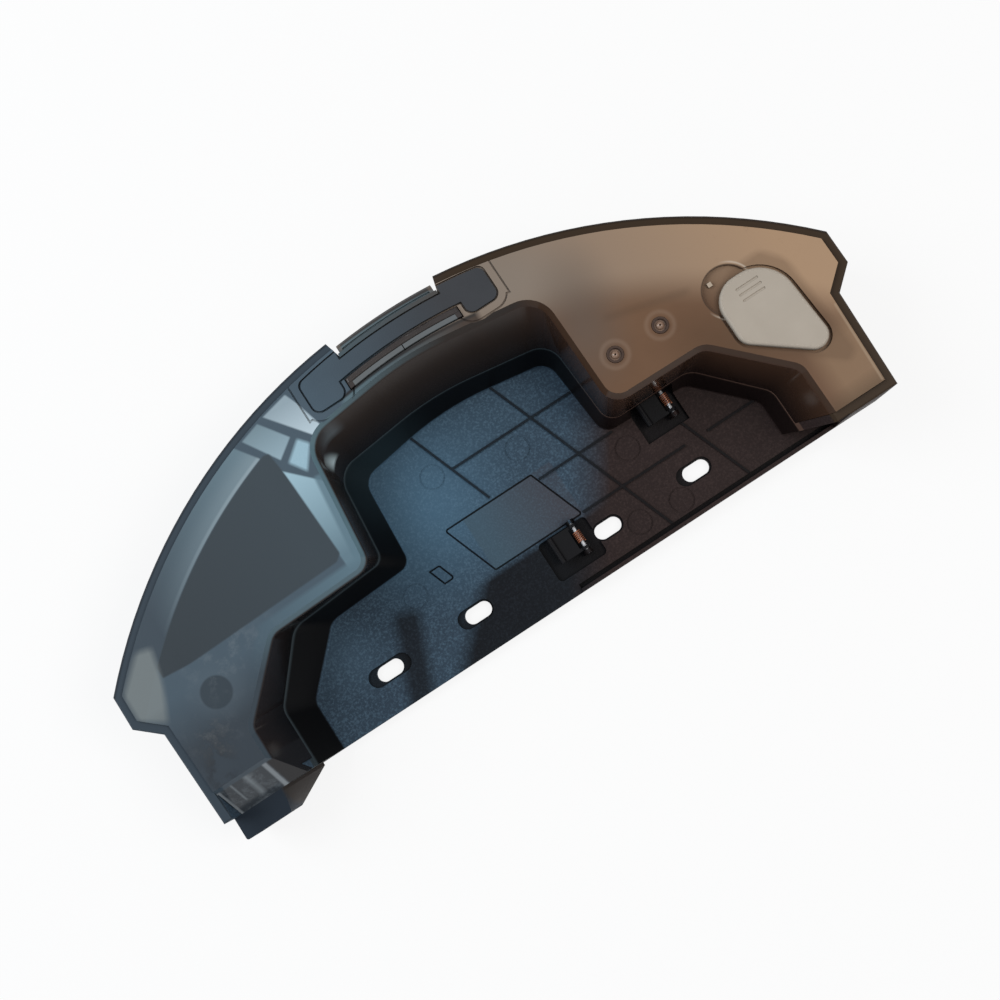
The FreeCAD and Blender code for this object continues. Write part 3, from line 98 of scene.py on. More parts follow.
class Material:
    """A procedural material built round one Principled shader, with short calls for its nodes."""

    def __init__(self, name, **fixed):
        self.data = bpy.data.materials.new(name)
        self.data.use_nodes = True
        self.tree = self.data.node_tree
        self.tree.nodes.clear()
        self.shader = self.tree.nodes.new("ShaderNodeBsdfPrincipled")
        self.out = self.tree.nodes.new("ShaderNodeOutputMaterial")
        self.tree.links.new(self.shader.outputs[0], self.out.inputs["Surface"])
        coordinates = self.tree.nodes.new("ShaderNodeTexCoord")
        self.place = coordinates.outputs["Object"]
        self.x, self.y, self.z = self.split(self.place)
        self.up = self.split(coordinates.outputs["Normal"])[2]
        for socket, value in fixed.items():
            self.shader.inputs[socket.replace("_", " ")].default_value = value

    def split(self, vector):
        """The three parts of a vector."""
        node = self.tree.nodes.new("ShaderNodeSeparateXYZ")
        self.tree.links.new(vector, node.inputs[0])
        return node.outputs[0], node.outputs[1], node.outputs[2]

    def put(self, socket, value):
        """Gives an input socket a number, a colour or another node's output."""
        if isinstance(value, bpy.types.NodeSocket):
            self.tree.links.new(value, socket)
        else:
            socket.default_value = value

    def math(self, operation, *values):
        node = self.tree.nodes.new("ShaderNodeMath")
        node.operation = operation
        for socket, value in zip(node.inputs, values):
            self.put(socket, value)
        return node.outputs[0]

    def ramp(self, value, low, high, from_value=0.0, to_value=1.0):
        """A straight, clamped ramp of a value."""
        node = self.tree.nodes.new("ShaderNodeMapRange")
        for socket, number in zip(node.inputs, (value, low, high, from_value, to_value)):
            self.put(socket, number)
        return node.outputs[0]

    def fade(self, value, low, high):
        """A smooth, clamped step: 0 at low and 1 at high, whichever of the two is larger."""
        node = self.tree.nodes.new("ShaderNodeMapRange")
        node.interpolation_type = "SMOOTHSTEP"
        for socket, number in zip(node.inputs, (value, low, high, 0.0, 1.0)):
            self.put(socket, number)
        return node.outputs[0]

    def noise(self, scale, detail, rough, stretch=(1, 1, 1)):
        """Noise, about 0 to 1. Its scale is in features per metre."""
        mapping = self.tree.nodes.new("ShaderNodeMapping")
        mapping.inputs["Scale"].default_value = stretch
        self.tree.links.new(self.place, mapping.inputs[0])
        node = self.tree.nodes.new("ShaderNodeTexNoise")
        self.tree.links.new(mapping.outputs[0], node.inputs["Vector"])
        node.inputs["Scale"].default_value = scale
        node.inputs["Detail"].default_value = detail
        node.inputs["Roughness"].default_value = rough
        return node.outputs[0]

    def mix(self, share, first, second):
        """Colour between two colours."""
        node = self.tree.nodes.new("ShaderNodeMix")
        node.data_type = "RGBA"
        self.put(node.inputs["Factor"], share)
        self.put(node.inputs[MIX_FIRST], self.colour(first))
        self.put(node.inputs[MIX_SECOND], self.colour(second))
        return node.outputs[MIX_RESULT]

    def colour(self, value):
        """A colour given as sRGB 0 to 255, or a node's output, as it is."""
        if isinstance(value, bpy.types.NodeSocket):
            return value
        return tuple(linear(c) for c in value) + (1.0,)

    def bump(self, height, distance, strength):
        """A bumped normal from a height of 0 to 1, with its distance in metres."""
        node = self.tree.nodes.new("ShaderNodeBump")
        node.inputs["Strength"].default_value = strength
        node.inputs["Distance"].default_value = distance
        self.tree.links.new(height, node.inputs["Height"])
        return node.outputs[0]

    def set(self, **links):
        """Gives the shader's sockets values or links, by their names with underscores."""
        for socket, value in links.items():
            name = socket.replace("_", " ")
            if name == "Base Color":
                value = self.colour(value)
            self.put(self.shader.inputs[name], value)
        return self

    # Masks, 1 inside and 0 outside

    def above(self, value, limit, soft=SOFT_EDGE):
        return self.ramp(value, limit - soft, limit + soft)

    def below(self, value, limit, soft=SOFT_EDGE):
        return self.ramp(value, limit - soft, limit + soft, 1.0, 0.0)

    def all_of(self, *masks):
        result = masks[0]
        for mask in masks[1:]:
            result = self.math("MULTIPLY", result, mask)
        return result

    def any_of(self, *masks):
        result = masks[0]
        for mask in masks[1:]:
            result = self.math("MAXIMUM", result, mask)
        return result

    def outside_of(self, mask):
        return self.math("SUBTRACT", 1.0, mask)

    def share_of(self, mask, share):
        return self.math("MULTIPLY", mask, share)

    def offset(self, centre):
        """X and y from a point of the plan view."""
        return (self.math("SUBTRACT", self.x, centre[0] / MM_PER_M),
                self.math("SUBTRACT", self.y, centre[1] / MM_PER_M + ARC_Y))

    def length(self, dx, dy):
        square = self.math("ADD", self.math("MULTIPLY", dx, dx), self.math("MULTIPLY", dy, dy))
        return self.math("SQRT", square)

    def spot(self, centre, reach, stretch=1.0, turn=0.0):
        """A soft spot, 1 at its centre and 0 at its reach, stretched along a direction given in degrees."""
        cos, sin = math.cos(math.radians(turn)), math.sin(math.radians(turn))
        dx, dy = self.offset(centre)
        along = self.math("ADD", self.math("MULTIPLY", dx, cos / stretch),
                          self.math("MULTIPLY", dy, sin / stretch))
        across = self.math("SUBTRACT", self.math("MULTIPLY", dy, cos), self.math("MULTIPLY", dx, sin))
        return self.fade(self.length(along, across), reach / MM_PER_M, 0.0)

    def ring(self, centre, radius, width):
        """A thin soft ring."""
        reach = self.length(*self.offset(centre))
        off = self.math("ABSOLUTE", self.math("SUBTRACT", reach, radius / MM_PER_M))
        return self.fade(off, width / MM_PER_M, 0.0)

    def stripe(self, start, end, width, soft=0.3):
        """A band along the straight line from start to end."""
        a = Vector(start)
        b = Vector(end)
        along = (b - a).normalized()
        side = Vector((-along.y, along.x)) * (width / 2)
        corners = [a - side, b - side, b + side, a + side]
        return self.polygon([tuple(corner) for corner in corners], soft / MM_PER_M)

    def radius(self):
        """Distance from the outer arc's centre."""
        return self.length(self.x, self.math("SUBTRACT", self.y, ARC_Y))

    def side_of(self, start, end, soft=SOFT_EDGE):
        """1 on the left of the line from start to end."""
        a = Vector((start[0] / MM_PER_M, start[1] / MM_PER_M + ARC_Y))
        b = Vector((end[0] / MM_PER_M, end[1] / MM_PER_M + ARC_Y))
        along = (b - a).normalized()
        normal = Vector((-along.y, along.x))
        reach = self.math("ADD", self.math("MULTIPLY", self.x, normal.x),
                          self.math("MULTIPLY", self.y, normal.y))
        return self.above(reach, normal.dot(a), soft)

    def polygon(self, corners, soft=SOFT_EDGE):
        """Convex region whose corners run anticlockwise."""
        return self.all_of(*[self.side_of(corners[i], corners[(i + 1) % len(corners)], soft)
                             for i in range(len(corners))])


def linear(value):
    """sRGB 0 to 255 as linear light."""
    share = value / 255.0
    return share / 12.92 if share <= 0.04045 else ((share + 0.055) / 1.055) ** 2.4


# Materials

def tray_material():
    """Black textured plastic: painted cool light gives it a bluish sheen on the left, painted warm light
    makes it brown black on the right, and painted shadow darkens it along the front.
    """
    m = Material("tray_plastic", Specular_IOR_Level=0.1)
    r = m.radius()
    spark = m.noise(1500.0, 3.0, 0.6)
    blotch = m.noise(24.0, 3.0, 0.5)
    # Painted light: warm light browns the right of the tray and cool light tints the left bluish, on the
    # plate, its flecks, panel, lower wall and rim.
    warm_lit_side = m.outside_of(m.side_of((18.0, 80.0), (41.0, 116.0), 0.007))
    cool = m.mix(blotch, (40, 53, 66), (58, 75, 90))
    brown = m.mix(blotch, (34, 26, 25), (48, 37, 36))
    # Painted reflections: soft pools of bluish sheen on the plate.
    shade = m.mix(m.share_of(m.spot((-20.0, 120.0), 36.0, 1.2, 60.0), 0.85), cool, (78, 112, 136))
    shade = m.mix(m.share_of(m.spot((10.0, 130.0), 26.0, 1.5), 0.4), shade, (66, 90, 108))
    shade = m.mix(m.share_of(m.spot((-66.0, 92.0), 18.0), 0.6), shade, (70, 92, 110))
    # Painted shadow: a dark soft band across the plate and a dark zone along its front, where the flecks are
    # darkened too.
    band = m.stripe((-43.0, 94.0), (-57.0, 60.0), 8.5, 2.2)
    low = m.all_of(m.below(m.y, 0.0885 + ARC_Y, 0.0014),
                   m.outside_of(m.side_of((-30.5, 76.0), (-14.0, 92.0), 0.003)))
    dark = m.any_of(m.share_of(low, 0.92), m.share_of(band, 0.8))
    shade = m.mix(dark, shade, (14, 14, 17))
    shade = m.mix(warm_lit_side, shade, brown)
    grain = m.ramp(spark, 0.46, 0.78)
    fleck = m.mix(warm_lit_side, m.mix(dark, (116, 150, 174), (40, 40, 46)), (86, 70, 67))
    panel = m.all_of(m.above(m.x, PANEL_X[0]), m.below(m.x, PANEL_X[1]), m.above(m.y, PANEL_Y[0] + ARC_Y),
                     m.below(m.y, PANEL_Y[1] + ARC_Y), m.below(m.z, PANEL_TOP))
    shade = m.mix(panel, shade, m.mix(m.ramp(m.x, -0.008, 0.018), (68, 88, 101), (68, 65, 70)))
    rough_skin = m.outside_of(m.share_of(panel, 0.8))
    shade = m.mix(m.math("MULTIPLY", grain, m.share_of(rough_skin, 0.3)), shade, fleck)
    # Painted shade: rib tops and sunk recess floors are darkened to stand for the shadow lines by the ribs
    # and the shade in the recesses.
    ribs = m.all_of(m.above(m.z, RIB_TOPS[0], 0.0001), m.below(m.z, RIB_TOPS[1], 0.0001),
                    m.above(m.up, FACES_UP, 0.05))
    sunk = m.all_of(m.below(m.z, SUNK_BELOW, 0.0001), m.above(m.up, FACES_UP, 0.05))
    shade = m.mix(m.share_of(m.any_of(ribs, sunk), 0.85), shade, (12, 13, 16))
    lower_wall = m.all_of(m.above(m.z, LOWER_WALL[0]), m.below(m.z, LOWER_WALL[1]), m.below(m.up, 0.97, 0.02))
    wall = m.mix(warm_lit_side, (10, 11, 13), (24, 17, 16))
    # Painted light on the lower bay wall: a bluish reflection at the back left and a painted highlight along
    # its top by the seam.
    wall = m.mix(m.share_of(m.spot((-24.0, 136.0), 26.0), 0.7), wall, (38, 52, 58))
    lit_wall = m.mix(warm_lit_side, (70, 82, 88), (118, 92, 80))
    wall = m.mix(m.share_of(m.above(m.z, WALL_LIT_ABOVE), 0.5), wall, lit_wall)
    shade = m.mix(lower_wall, shade, wall)
    rim = m.above(m.z, RIM_TOP - 0.0012)
    slate = m.mix(m.fade(r, *RIM_SHADE_R), (58, 68, 77), (38, 44, 51))
    olive = m.mix(m.fade(r, *RIM_SHADE_R), (58, 46, 35), (40, 31, 24))
    shade = m.mix(rim, shade, m.mix(m.fade(m.x, -0.01, 0.03), slate, olive))
    skin = m.all_of(m.above(r, OUTER_SKIN_R), m.below(m.z, RIM_TOP - 0.0007))
    shade = m.mix(skin, shade, (24, 26, 30))
    rough = m.ramp(m.any_of(lower_wall, rim), 0.0, 1.0, 0.5, 0.34)
    texture = m.math("MULTIPLY", spark, m.all_of(rough_skin, m.below(m.z, PLATE_SKIN)))
    return m.set(Base_Color=shade, Roughness=rough, Normal=m.bump(texture, 0.00012, 0.8)).data


def left_arm(m, r, cloud, fine, scuff):
    """Smoked cover over the left arm: clear windows by the latch, and a dark field in a paler band."""
    # The bluish ground is tinted by painted cool light.
    shade = m.mix(cloud, (66, 82, 94), (80, 96, 108))
    along = m.ramp(m.x, -0.106, -0.056)
    band = m.mix(along, (62, 74, 84), (106, 128, 139))
    # Painted highlights: the band lightens towards its inner edge and has a bright line along that edge.
    lit = m.math("MULTIPLY", m.fade(r, 0.1712, 0.1645), m.share_of(along, 0.4))
    band = m.mix(lit, band, (146, 162, 170))
    inner_edge_highlight = m.math("MULTIPLY", m.below(r, 0.1646), m.share_of(along, 0.6))
    band = m.mix(inner_edge_highlight, band, (156, 172, 180))
    in_band = m.all_of(m.fade(r, *BAND_FADE_R), m.side_of((-53.1, 155.6), (-57.5, 161.8)),
                       m.below(m.x, -0.0525))
    shade = m.mix(in_band, shade, band)
    tint = m.ramp(m.y, 0.165 + ARC_Y, 0.150 + ARC_Y)
    shade = m.mix(m.polygon(WINDOW_OUTER), shade, m.mix(tint, (150, 168, 178), (198, 216, 226)))
    shade = m.mix(m.polygon(WINDOW_MIDDLE), shade, m.mix(tint, (116, 137, 147), (154, 178, 190)))
    shade = m.mix(m.share_of(m.polygon(WINDOW_BAY, 0.0006), 0.9), shade,
                  m.mix(fine, (152, 186, 202), (174, 206, 220)))
    field = m.all_of(m.polygon(DARK_FIELD), m.below(r, FIELD_R))
    beside = m.all_of(m.side_of((-49.3, 152.0), (-47.9, 117.3)), m.above(m.y, 0.112 + ARC_Y, 0.0008),
                      m.side_of((-44.2, 143.0), (-50.0, 149.0)))
    rib_light = m.mix(m.ramp(m.y, 0.116 + ARC_Y, 0.146 + ARC_Y), (104, 130, 143), (166, 198, 212))
    shade = m.mix(m.share_of(beside, 0.92), shade, rib_light)
    # Painted highlight: a teal band of sheen along the bay's edge on the left arm.
    low_light = m.mix(m.ramp(m.x, -0.090, -0.046), (70, 87, 99), (96, 122, 135))
    edge_band = m.any_of(m.stripe((-40.4, 141.0), (-43.6, 112.0), 2.8, 0.5),
                         m.stripe((-42.0, 111.2), (-79.0, 110.1), 4.6, 0.7),
                         m.stripe((-77.5, 111.4), (-99.5, 89.2), 4.6, 0.9))
    shade = m.mix(m.share_of(edge_band, 0.85), shade, low_light)
    shade = m.mix(field, shade, m.mix(m.ramp(m.x, -0.105, -0.055), (52, 60, 66), (62, 72, 79)))
    shade = m.mix(m.share_of(m.polygon(LEFT_TIP, 0.0012), 0.85), shade, (122, 130, 131))
    front = m.below(m.y, 0.100 + ARC_Y, 0.008)
    shade = m.mix(m.share_of(front, 0.8), shade, (50, 56, 63))
    outlet = m.spot((-101.1, 102.5), 6.4)
    shade = m.mix(m.share_of(m.spot((-100.0, 103.0), 13.0), 0.35), shade, (92, 104, 113))
    shade = m.mix(m.share_of(m.above(outlet, 0.12, 0.05), 0.85), shade, (50, 60, 68))
    grime = m.all_of(m.spot((-111.0, 86.0), 9.0, 2.0, 70.0), m.ramp(scuff, 0.45, 0.6))
    shade = m.mix(m.share_of(grime, 0.8), shade, (36, 38, 42))
    smear = m.all_of(m.any_of(m.spot((-92.0, 110.0), 15.0, 1.6, 10.0), m.spot((-109.0, 92.0), 12.0)),
                     m.ramp(scuff, 0.5, 0.75), m.outside_of(field))
    return m.mix(m.share_of(smear, 0.26), shade, (150, 158, 162))


def right_arm(m, r, cloud, scuff):
    """Smoked cover over the right arm: pale along the outer arc, orange brown by the bay and the plug."""
    # The orange brown ground is tinted by painted warm light.
    shade = m.mix(cloud, (100, 72, 52), (120, 90, 67))
    outer = m.mix(m.ramp(m.x, 0.04, 0.115), (134, 119, 106), (172, 141, 112))
    shade = m.mix(m.fade(r, 0.146, 0.160), shade, outer)
    shade = m.mix(m.share_of(m.spot((40.0, 158.0), 20.0, 1.6, -20.0), 0.7), shade, (138, 126, 114))
    shade = m.mix(m.share_of(m.spot((52.0, 136.0), 18.0, 1.7, 70.0), 0.65), shade, (98, 87, 79))
    shade = m.mix(m.share_of(m.spot((86.0, 104.0), 17.0, 1.8, -40.0), 0.6), shade, (84, 60, 40))
    shade = m.mix(m.share_of(m.stripe((58.0, 133.0), (84.0, 126.0), 1.6, 1.2), 0.35), shade, (84, 66, 50))
    end = m.all_of(m.above(m.x, 0.104, 0.003), m.below(m.y, 0.093 + ARC_Y, 0.004))
    shade = m.mix(m.share_of(end, 0.8), shade, (140, 112, 86))
    shade = m.mix(m.share_of(m.below(m.y, 0.0735 + ARC_Y, 0.003), 0.7), shade, (84, 64, 44))
    # Painted shade: a soft darker brown zone round the plug.
    shade = m.mix(m.share_of(m.polygon(ROUND_PLUG, 0.0012), 0.4), shade, (96, 72, 52))
    inner_line = m.stripe((118.0, 98.5), (116.7, 71.5), 0.6)
    shade = m.mix(m.share_of(inner_line, 0.5), shade, (178, 156, 132))
    for x in VENT_X:
        shade = m.mix(m.share_of(m.ring((x, VENT_Y), 4.2, 1.2), 0.16), shade, (168, 146, 128))
    lit_side = m.side_of((101.0, 131.0), (80.0, 108.0), 0.002)
    shade = m.mix(m.share_of(m.ring(THUMB_CENTRE, THUMB_R + 0.1, 0.35), 0.85), shade, (58, 44, 34))
    lit_ring = m.all_of(m.ring(THUMB_CENTRE, THUMB_R + 0.9, 0.5), lit_side)
    shade = m.mix(m.share_of(lit_ring, 0.6), shade, (206, 192, 176))
    inside = m.spot(THUMB_CENTRE, THUMB_R + 0.6)
    shade = m.mix(m.share_of(m.above(inside, 0.02, 0.01), 0.45), shade, (92, 68, 50))
    pin = m.all_of(m.spot(THUMB_PIN, 2.2), m.above(m.z, 0.0322, 0.0002))
    shade = m.mix(m.above(pin, 0.1, 0.05), shade, (182, 166, 148))
    speck = m.all_of(m.spot((108.0, 132.0), 16.0, 1.8, -50.0), m.ramp(scuff, 0.58, 0.66))
    return m.mix(m.share_of(speck, 0.25), shade, (110, 86, 66))


def cover_material():
    """Smoked see-through lid, frosted on top, darker and glossy down the bay's wall."""
    m = Material("smoked_cover", Specular_IOR_Level=0.28)
    r = m.radius()
    fine = m.noise(2600.0, 2.0, 0.6)
    cloud = m.noise(34.0, 4.0, 0.6)
    scuff = m.noise(220.0, 6.0, 0.7)
    top = m.all_of(m.above(m.up, COVER_UP, 0.01), m.above(m.z, COVER_FLAT_Z))
    lip = m.all_of(m.below(m.up, 0.99, 0.008), m.above(m.z, 0.0315))
    # Painted light: the left arm is tinted bluish by painted cool light and the right arm orange brown by
    # painted warm light.
    warm_lit_side = m.fade(m.x, -0.012, 0.026)
    shade = m.mix(warm_lit_side, left_arm(m, r, cloud, fine, scuff), right_arm(m, r, cloud, scuff))
    by_latch = m.all_of(m.above(r, LATCH_R), m.above(m.x, LATCH_X[0]), m.below(m.x, LATCH_X[1]))
    slate = m.mix(m.ramp(m.x, -0.015, 0.02), (74, 88, 94), (66, 66, 66))
    shade = m.mix(m.share_of(by_latch, 0.9), shade, slate)
    # Painted shading of the lip beside the bar: teal on the left fading to brown on the right, with a darker
    # line along it.
    by_bar = m.all_of(m.below(r, BAR_R), m.above(m.x, BAR_X[0], 0.001), m.below(m.x, BAR_X[1], 0.001))
    thin_line = m.all_of(m.below(r, BAR_LINE_R[1]), m.above(r, BAR_LINE_R[0]))
    strip = m.mix(m.ramp(m.x, -0.020, 0.022), (92, 114, 122), (62, 51, 45))
    shade = m.mix(m.share_of(by_bar, 0.9), shade, m.mix(thin_line, (38, 36, 36), strip))
    # Painted highlight: the bay's wall lightens towards its top edge, and is browner on the right under
    # painted warm light.
    height = m.ramp(m.z, 0.014, 0.031)
    far_left = m.below(m.x, -0.041, 0.003)
    grip = m.mix(height, (20, 18, 18), (52, 44, 40))
    left = m.mix(height, (16, 15, 16), (38, 32, 31))
    right = m.mix(height, (24, 16, 14), (62, 43, 32))
    wall = m.mix(m.fade(m.x, 0.03, 0.05), m.mix(far_left, grip, left), right)
    # Painted highlights: a soft bluish reflection and a bright glint on the wall at the bay's back-left
    # corner.
    glow = m.all_of(m.spot((-31.0, 148.0), 5.5, 1.4, 60.0), m.above(m.z, 0.0265, 0.001))
    wall = m.mix(m.share_of(glow, 0.6), wall, (112, 126, 134))
    shine = m.all_of(m.spot((-35.0, 143.6), 3.6), m.above(m.z, 0.0200, 0.0006), m.below(m.z, 0.0264, 0.0005))
    wall = m.mix(m.share_of(shine, 0.9), wall, (186, 206, 212))
    pane = m.all_of(m.below(m.y, PANE_BACK + ARC_Y), m.below(m.x, PANE_RIGHT), m.above(m.z, PANE_FOOT))
    clear = m.mix(m.ramp(scuff, 0.45, 0.75), (56, 62, 68), (104, 112, 118))
    # Painted highlights: bright streaks across the sloping pane and bright lines along its edges.
    pane_highlights = m.any_of(m.stripe((-112.6, 77.5), (-112.6, 71.0), 0.5),
                     m.stripe((-107.4, 77.5), (-107.4, 70.0), 1.4, 0.8))
    clear = m.mix(m.share_of(pane_highlights, 0.6), clear, (136, 146, 152))
    wall = m.mix(pane, wall, clear)
    edges = m.any_of(m.below(m.x, -0.1164), m.all_of(m.above(m.x, -0.1014), m.below(m.x, -0.1000)))
    wall = m.mix(m.share_of(m.all_of(edges, pane), 0.7), wall, (150, 158, 164))
    beyond = m.all_of(m.above(m.x, PANE_RIGHT), m.below(m.x, -0.080), m.below(m.y, PANE_BACK + ARC_Y))
    wall = m.mix(m.share_of(beyond, 0.7), wall, (34, 34, 36))
    # Painted highlight on the rounded bay lip: teal on the left arm, fading to dark brown on the right.
    teal = m.mix(m.ramp(m.y, 0.100 + ARC_Y, 0.116 + ARC_Y), (64, 76, 86), (98, 126, 138))
    middle = m.mix(m.ramp(m.x, -0.036, 0.015), (98, 124, 134), (52, 46, 42))
    edge = m.mix(m.fade(m.x, -0.040, -0.034), teal, middle)
    edge = m.mix(m.fade(m.x, 0.036, 0.044), edge, (64, 47, 36))
    shade = m.mix(top, m.mix(m.share_of(lip, m.ramp(m.up, 0.25, 0.55)), wall, edge), shade)
    rough = m.ramp(top, 0.0, 1.0, 0.14, 0.36)
    alpha = m.ramp(top, 0.0, 1.0, OPAQUE, SMOKED)
    frost = m.math("MULTIPLY", fine, top)
    return m.set(Base_Color=shade, Roughness=rough, Alpha=alpha, Normal=m.bump(frost, 0.00003, 0.5)).data


def vent_material():
    """Soft air vent: tan bump in the middle of a dark brown ring."""
    m = Material("seal_rubber", Roughness=0.25)
    bumps = m.any_of(*[m.spot((x, VENT_Y), VENT_REACH) for x in VENT_X])
    dust = m.noise(900.0, 3.0, 0.6)
    ring = m.mix(dust, (56, 40, 32), (72, 54, 44))
    bump = m.mix(dust, (122, 96, 80), (150, 124, 106))
    lip = m.mix(dust, (96, 74, 60), (112, 90, 76))
    shade = m.mix(m.above(bumps, 0.16, 0.05), lip, ring)
    shade = m.mix(m.above(bumps, 0.5, 0.08), shade, bump)
    return m.set(Base_Color=shade, Normal=m.bump(dust, 0.00003, 0.5)).data


def trim_material():
    """Slate trim of the latch, bluish on the left from painted cool light and browner towards the right arm.
    """
    m = Material("dark_trim", Roughness=0.4, Specular_IOR_Level=0.35)
    fine = m.noise(*FINE_GRAIN)
    cloud = m.noise(*CLOUDS)
    cool = m.mix(cloud, (56, 72, 84), (70, 88, 101))
    plain = m.mix(cloud, (48, 50, 54), (58, 60, 64))
    shade = m.mix(m.ramp(m.x, -0.03, 0.02), cool, plain)
    return m.set(Base_Color=shade, Normal=m.bump(fine, 0.00005, 0.6)).data


def button_material():
    """Dark button whose low shelf catches the light, with lighter brown at its ends."""
    m = Material("button_plastic", Roughness=0.34, Specular_IOR_Level=0.4)
    fine = m.noise(*FINE_GRAIN)
    r = m.radius()
    shade = m.mix(fine, (46, 44, 43), (60, 57, 55))
    shelf = m.all_of(m.below(r, 0.1716), m.above(m.z, 0.028))
    shade = m.mix(m.share_of(shelf, 0.7), shade, (104, 124, 132))
    ears = m.any_of(m.below(m.x, -0.0135), m.above(m.x, 0.0185))
    shade = m.mix(m.share_of(ears, 0.5), shade, (110, 96, 84))
    return m.set(Base_Color=shade, Normal=m.bump(fine, 0.00004, 0.5)).data


def connector_material():
    """Dark slate block, its right facet painted browner as if lit by warm light."""
    m = Material("connector_plastic", Roughness=0.42, Specular_IOR_Level=0.15)
    fine = m.noise(1500.0, 3.0, 0.6)
    cloud = m.noise(80.0, 3.0, 0.5)
    cool = m.mix(cloud, (30, 38, 47), (40, 50, 61))
    brown = m.mix(cloud, (46, 42, 40), (58, 54, 52))
    # Painted warm light on the right facet.
    shade = m.mix(m.above(m.x, -0.1026, 0.0006), cool, brown)
    return m.set(Base_Color=shade, Normal=m.bump(fine, 0.00006, 0.6)).data


def plain_plastic(name, dark, light, rough, specular=0.5):
    """Fine moulded plastic, clouded between two colours."""
    m = Material(name, Roughness=rough, Specular_IOR_Level=specular)
    fine = m.noise(*FINE_GRAIN)
    cloud = m.noise(*CLOUDS)
    shade = m.mix(cloud, dark, light)
    return m.set(Base_Color=shade, Normal=m.bump(fine, 0.00005, 0.6),
                 Roughness=m.ramp(cloud, 0.3, 0.7, rough - 0.05, rough + 0.05)).data


def rubber(name, dark, light, rough):
    """Soft rubber with pale dust on it."""
    m = Material(name, Roughness=rough)
    dust = m.noise(700.0, 4.0, 0.7)
    cloud = m.noise(90.0, 3.0, 0.5)
    shade = m.mix(cloud, dark, light)
    shade = m.mix(m.ramp(dust, 0.62, 0.75, 0.0, 0.25), shade, light)
    return m.set(Base_Color=shade, Normal=m.bump(dust, 0.00004, 0.6)).data


def metal(name, colour, rough, stretch=(1, 1, 1), share=1.0):
    """Drawn or turned metal, with fine lines where its noise is stretched."""
    m = Material(name, Metallic=share, Roughness=rough)
    lines = m.noise(2400.0, 3.0, 0.6, stretch)
    darker = tuple(c * 0.8 for c in colour)
    return m.set(Base_Color=m.mix(lines, darker, colour),
                 Roughness=m.ramp(lines, 0.2, 0.8, rough - 0.08, rough + 0.1),
                 Normal=m.bump(lines, 0.00001, 0.4)).data


MATERIALS = {
    "base_tray": tray_material(),
    "tank_cover": cover_material(),
    "latch_plate": trim_material(),
    "release_button": button_material(),
    "latch_bar": plain_plastic("bar_plastic", (44, 38, 36), (62, 56, 54), 0.3),
    "filler_plug": rubber("plug_rubber", (158, 148, 135), (174, 164, 151), 0.6),
    "dry_lid": plain_plastic("dark_lid", (40, 46, 52), (54, 60, 66), 0.5),
    "control_board": plain_plastic("board_laminate", (20, 70, 44), (26, 86, 54), 0.4),
    "pump_head": plain_plastic("pump_plastic", (110, 112, 114), (136, 138, 140), 0.45),
    "inlet_filter": plain_plastic("filter_plastic", (176, 176, 170), (198, 198, 192), 0.5),
    "connector_block": connector_material(),
    "connector_contacts": metal("contact_metal", (212, 172, 96), 0.3),
    "board_screws": metal("steel", (180, 180, 182), 0.3, (1, 1, 6)),
    "catch_pins": metal("bright_pin", (214, 216, 220), 0.26, (1, 6, 1), 0.5),
    "pump_motor": metal("motor_can", (168, 168, 170), 0.35, (1, 8, 1)),
    "front_catch": plain_plastic("catch_plastic", (14, 14, 16), (24, 24, 27), 0.45, 0.12),
    "catch_springs": metal("copper_wire", (168, 106, 76), 0.32, (1, 1, 1), 0.6),
    "button_spring_left": metal("spring_steel", (176, 178, 182), 0.28),
    "suction_tube": rubber("clear_tube", (150, 154, 152), (190, 194, 190), 0.35),
    "outlet_nozzle_left": rubber("nozzle_rubber", (34, 34, 38), (48, 48, 52), 0.6),
    "hook_strip_left": rubber("hook_strip", (20, 20, 23), (36, 36, 40), 0.9),
    "vent_seal_left": vent_material(),
    "latch_insert_left": rubber("grey_rubber", (82, 87, 89), (98, 102, 104), 0.6),
}
SAME_AS = {
    "side_catch": "front_catch", "button_spring_right": "button_spring_left",
    "delivery_tube_right": "suction_tube", "delivery_tube_left": "suction_tube",
    "outlet_nozzle_right": "outlet_nozzle_left", "hook_strip_right": "hook_strip_left",
    "vent_seal_right": "vent_seal_left", "latch_insert_right": "latch_insert_left",
}
for name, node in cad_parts.items():
    material = MATERIALS[SAME_AS.get(name, name)]
    node.data.materials.clear()
    node.data.materials.append(material)


# Camera at the photograph's viewing angle

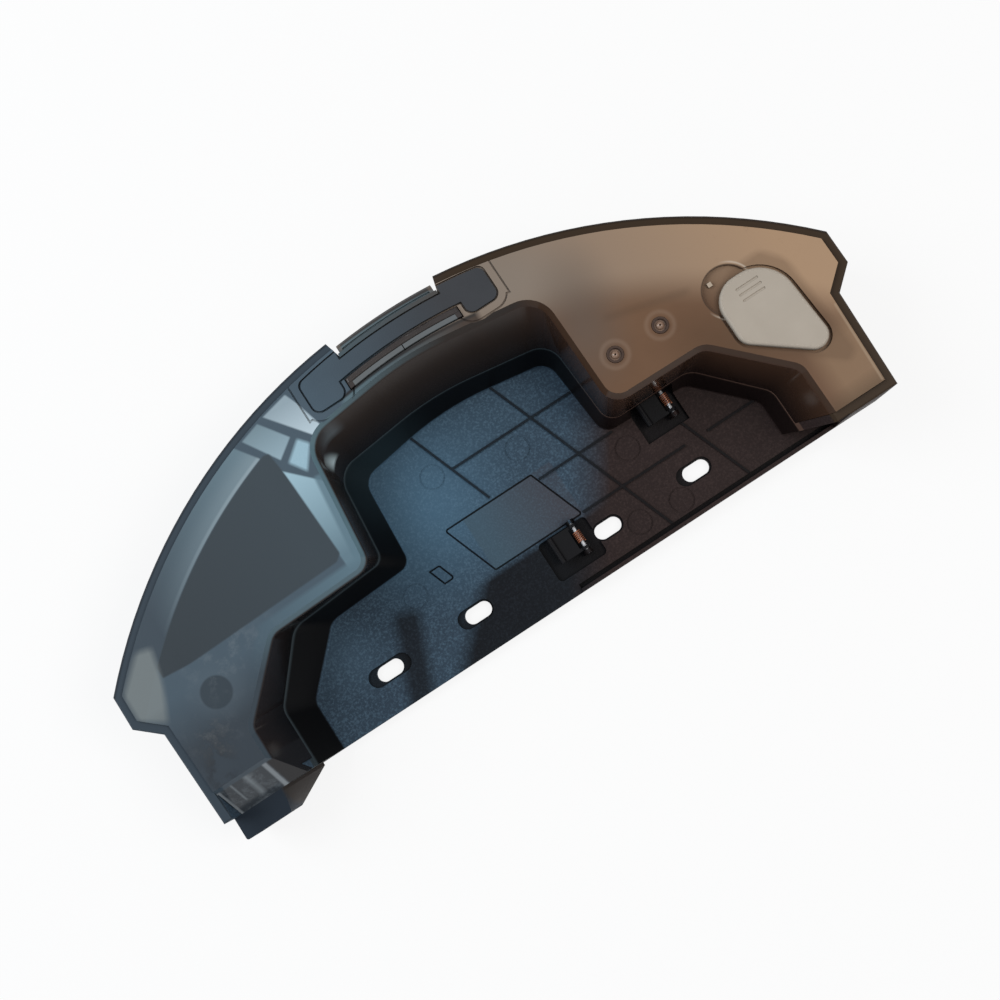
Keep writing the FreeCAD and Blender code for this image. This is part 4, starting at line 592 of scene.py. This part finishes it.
def add_camera():
    data = bpy.data.cameras.new("camera")
    data.lens = LENS
    data.sensor_width = SENSOR
    data.clip_start, data.clip_end = CLIP
    camera = bpy.data.objects.new("camera", data)
    bpy.context.scene.collection.objects.link(camera)
    right = Vector(CAMERA_RIGHT).normalized()
    back = Vector(CAMERA_BACK).normalized()
    up = back.cross(right).normalized()
    right = up.cross(back)
    turn = Matrix((right, up, back)).transposed()
    camera.matrix_world = Matrix.Translation(CAMERA_PLACE) @ turn.to_4x4()
    bpy.context.scene.camera = camera


# Floor and light

def add_floor():
    """Pale floor whose white comes from what the camera sees of it, not from more light on the object."""
    half = FLOOR_HALF
    mesh = bpy.data.meshes.new("floor")
    mesh.from_pydata([(-half, -half, 0), (half, -half, 0), (half, half, 0), (-half, half, 0)],
                     [], [(0, 1, 2, 3)])
    floor = bpy.data.objects.new("floor", mesh)
    bpy.context.scene.collection.objects.link(floor)
    m = Material("floor", Roughness=0.9)
    m.set(Base_Color=(FLOOR_GREY, FLOOR_GREY, FLOOR_GREY))
    path = m.tree.nodes.new("ShaderNodeLightPath")
    glow = m.tree.nodes.new("ShaderNodeEmission")
    glow.inputs["Color"].default_value = (1, 1, 1, 1)
    blend = m.tree.nodes.new("ShaderNodeMixShader")
    seen = m.math("MAXIMUM", path.outputs["Is Camera Ray"], path.outputs["Is Transmission Ray"])
    m.tree.links.new(m.math("MULTIPLY", seen, FLOOR_GLOW), blend.inputs[0])
    m.tree.links.new(m.shader.outputs[0], blend.inputs[1])
    m.tree.links.new(glow.outputs[0], blend.inputs[2])
    m.tree.links.new(blend.outputs[0], m.out.inputs["Surface"])
    floor.data.materials.append(m.data)


def add_area(name, place, size, power, colour):
    """A square lamp that faces the origin."""
    data = bpy.data.lights.new(name, "AREA")
    data.shape = "RECTANGLE"
    data.size = size
    data.size_y = size
    data.energy = power
    data.color = colour
    light = bpy.data.objects.new(name, data)
    bpy.context.scene.collection.objects.link(light)
    light.location = place
    light.rotation_mode = "QUATERNION"
    light.rotation_quaternion = Vector(place).to_track_quat("Z", "Y")


def add_world():
    world = bpy.data.worlds.new("world")
    world.use_nodes = True
    sky = world.node_tree.nodes["Background"]
    sky.inputs["Color"].default_value = SKY
    sky.inputs["Strength"].default_value = SKY_STRENGTH
    bpy.context.scene.world = world


add_camera()
add_floor()
add_world()
for lamp in LAMPS:
    add_area(*lamp)
bpy.context.scene.view_settings.view_transform = "Standard"
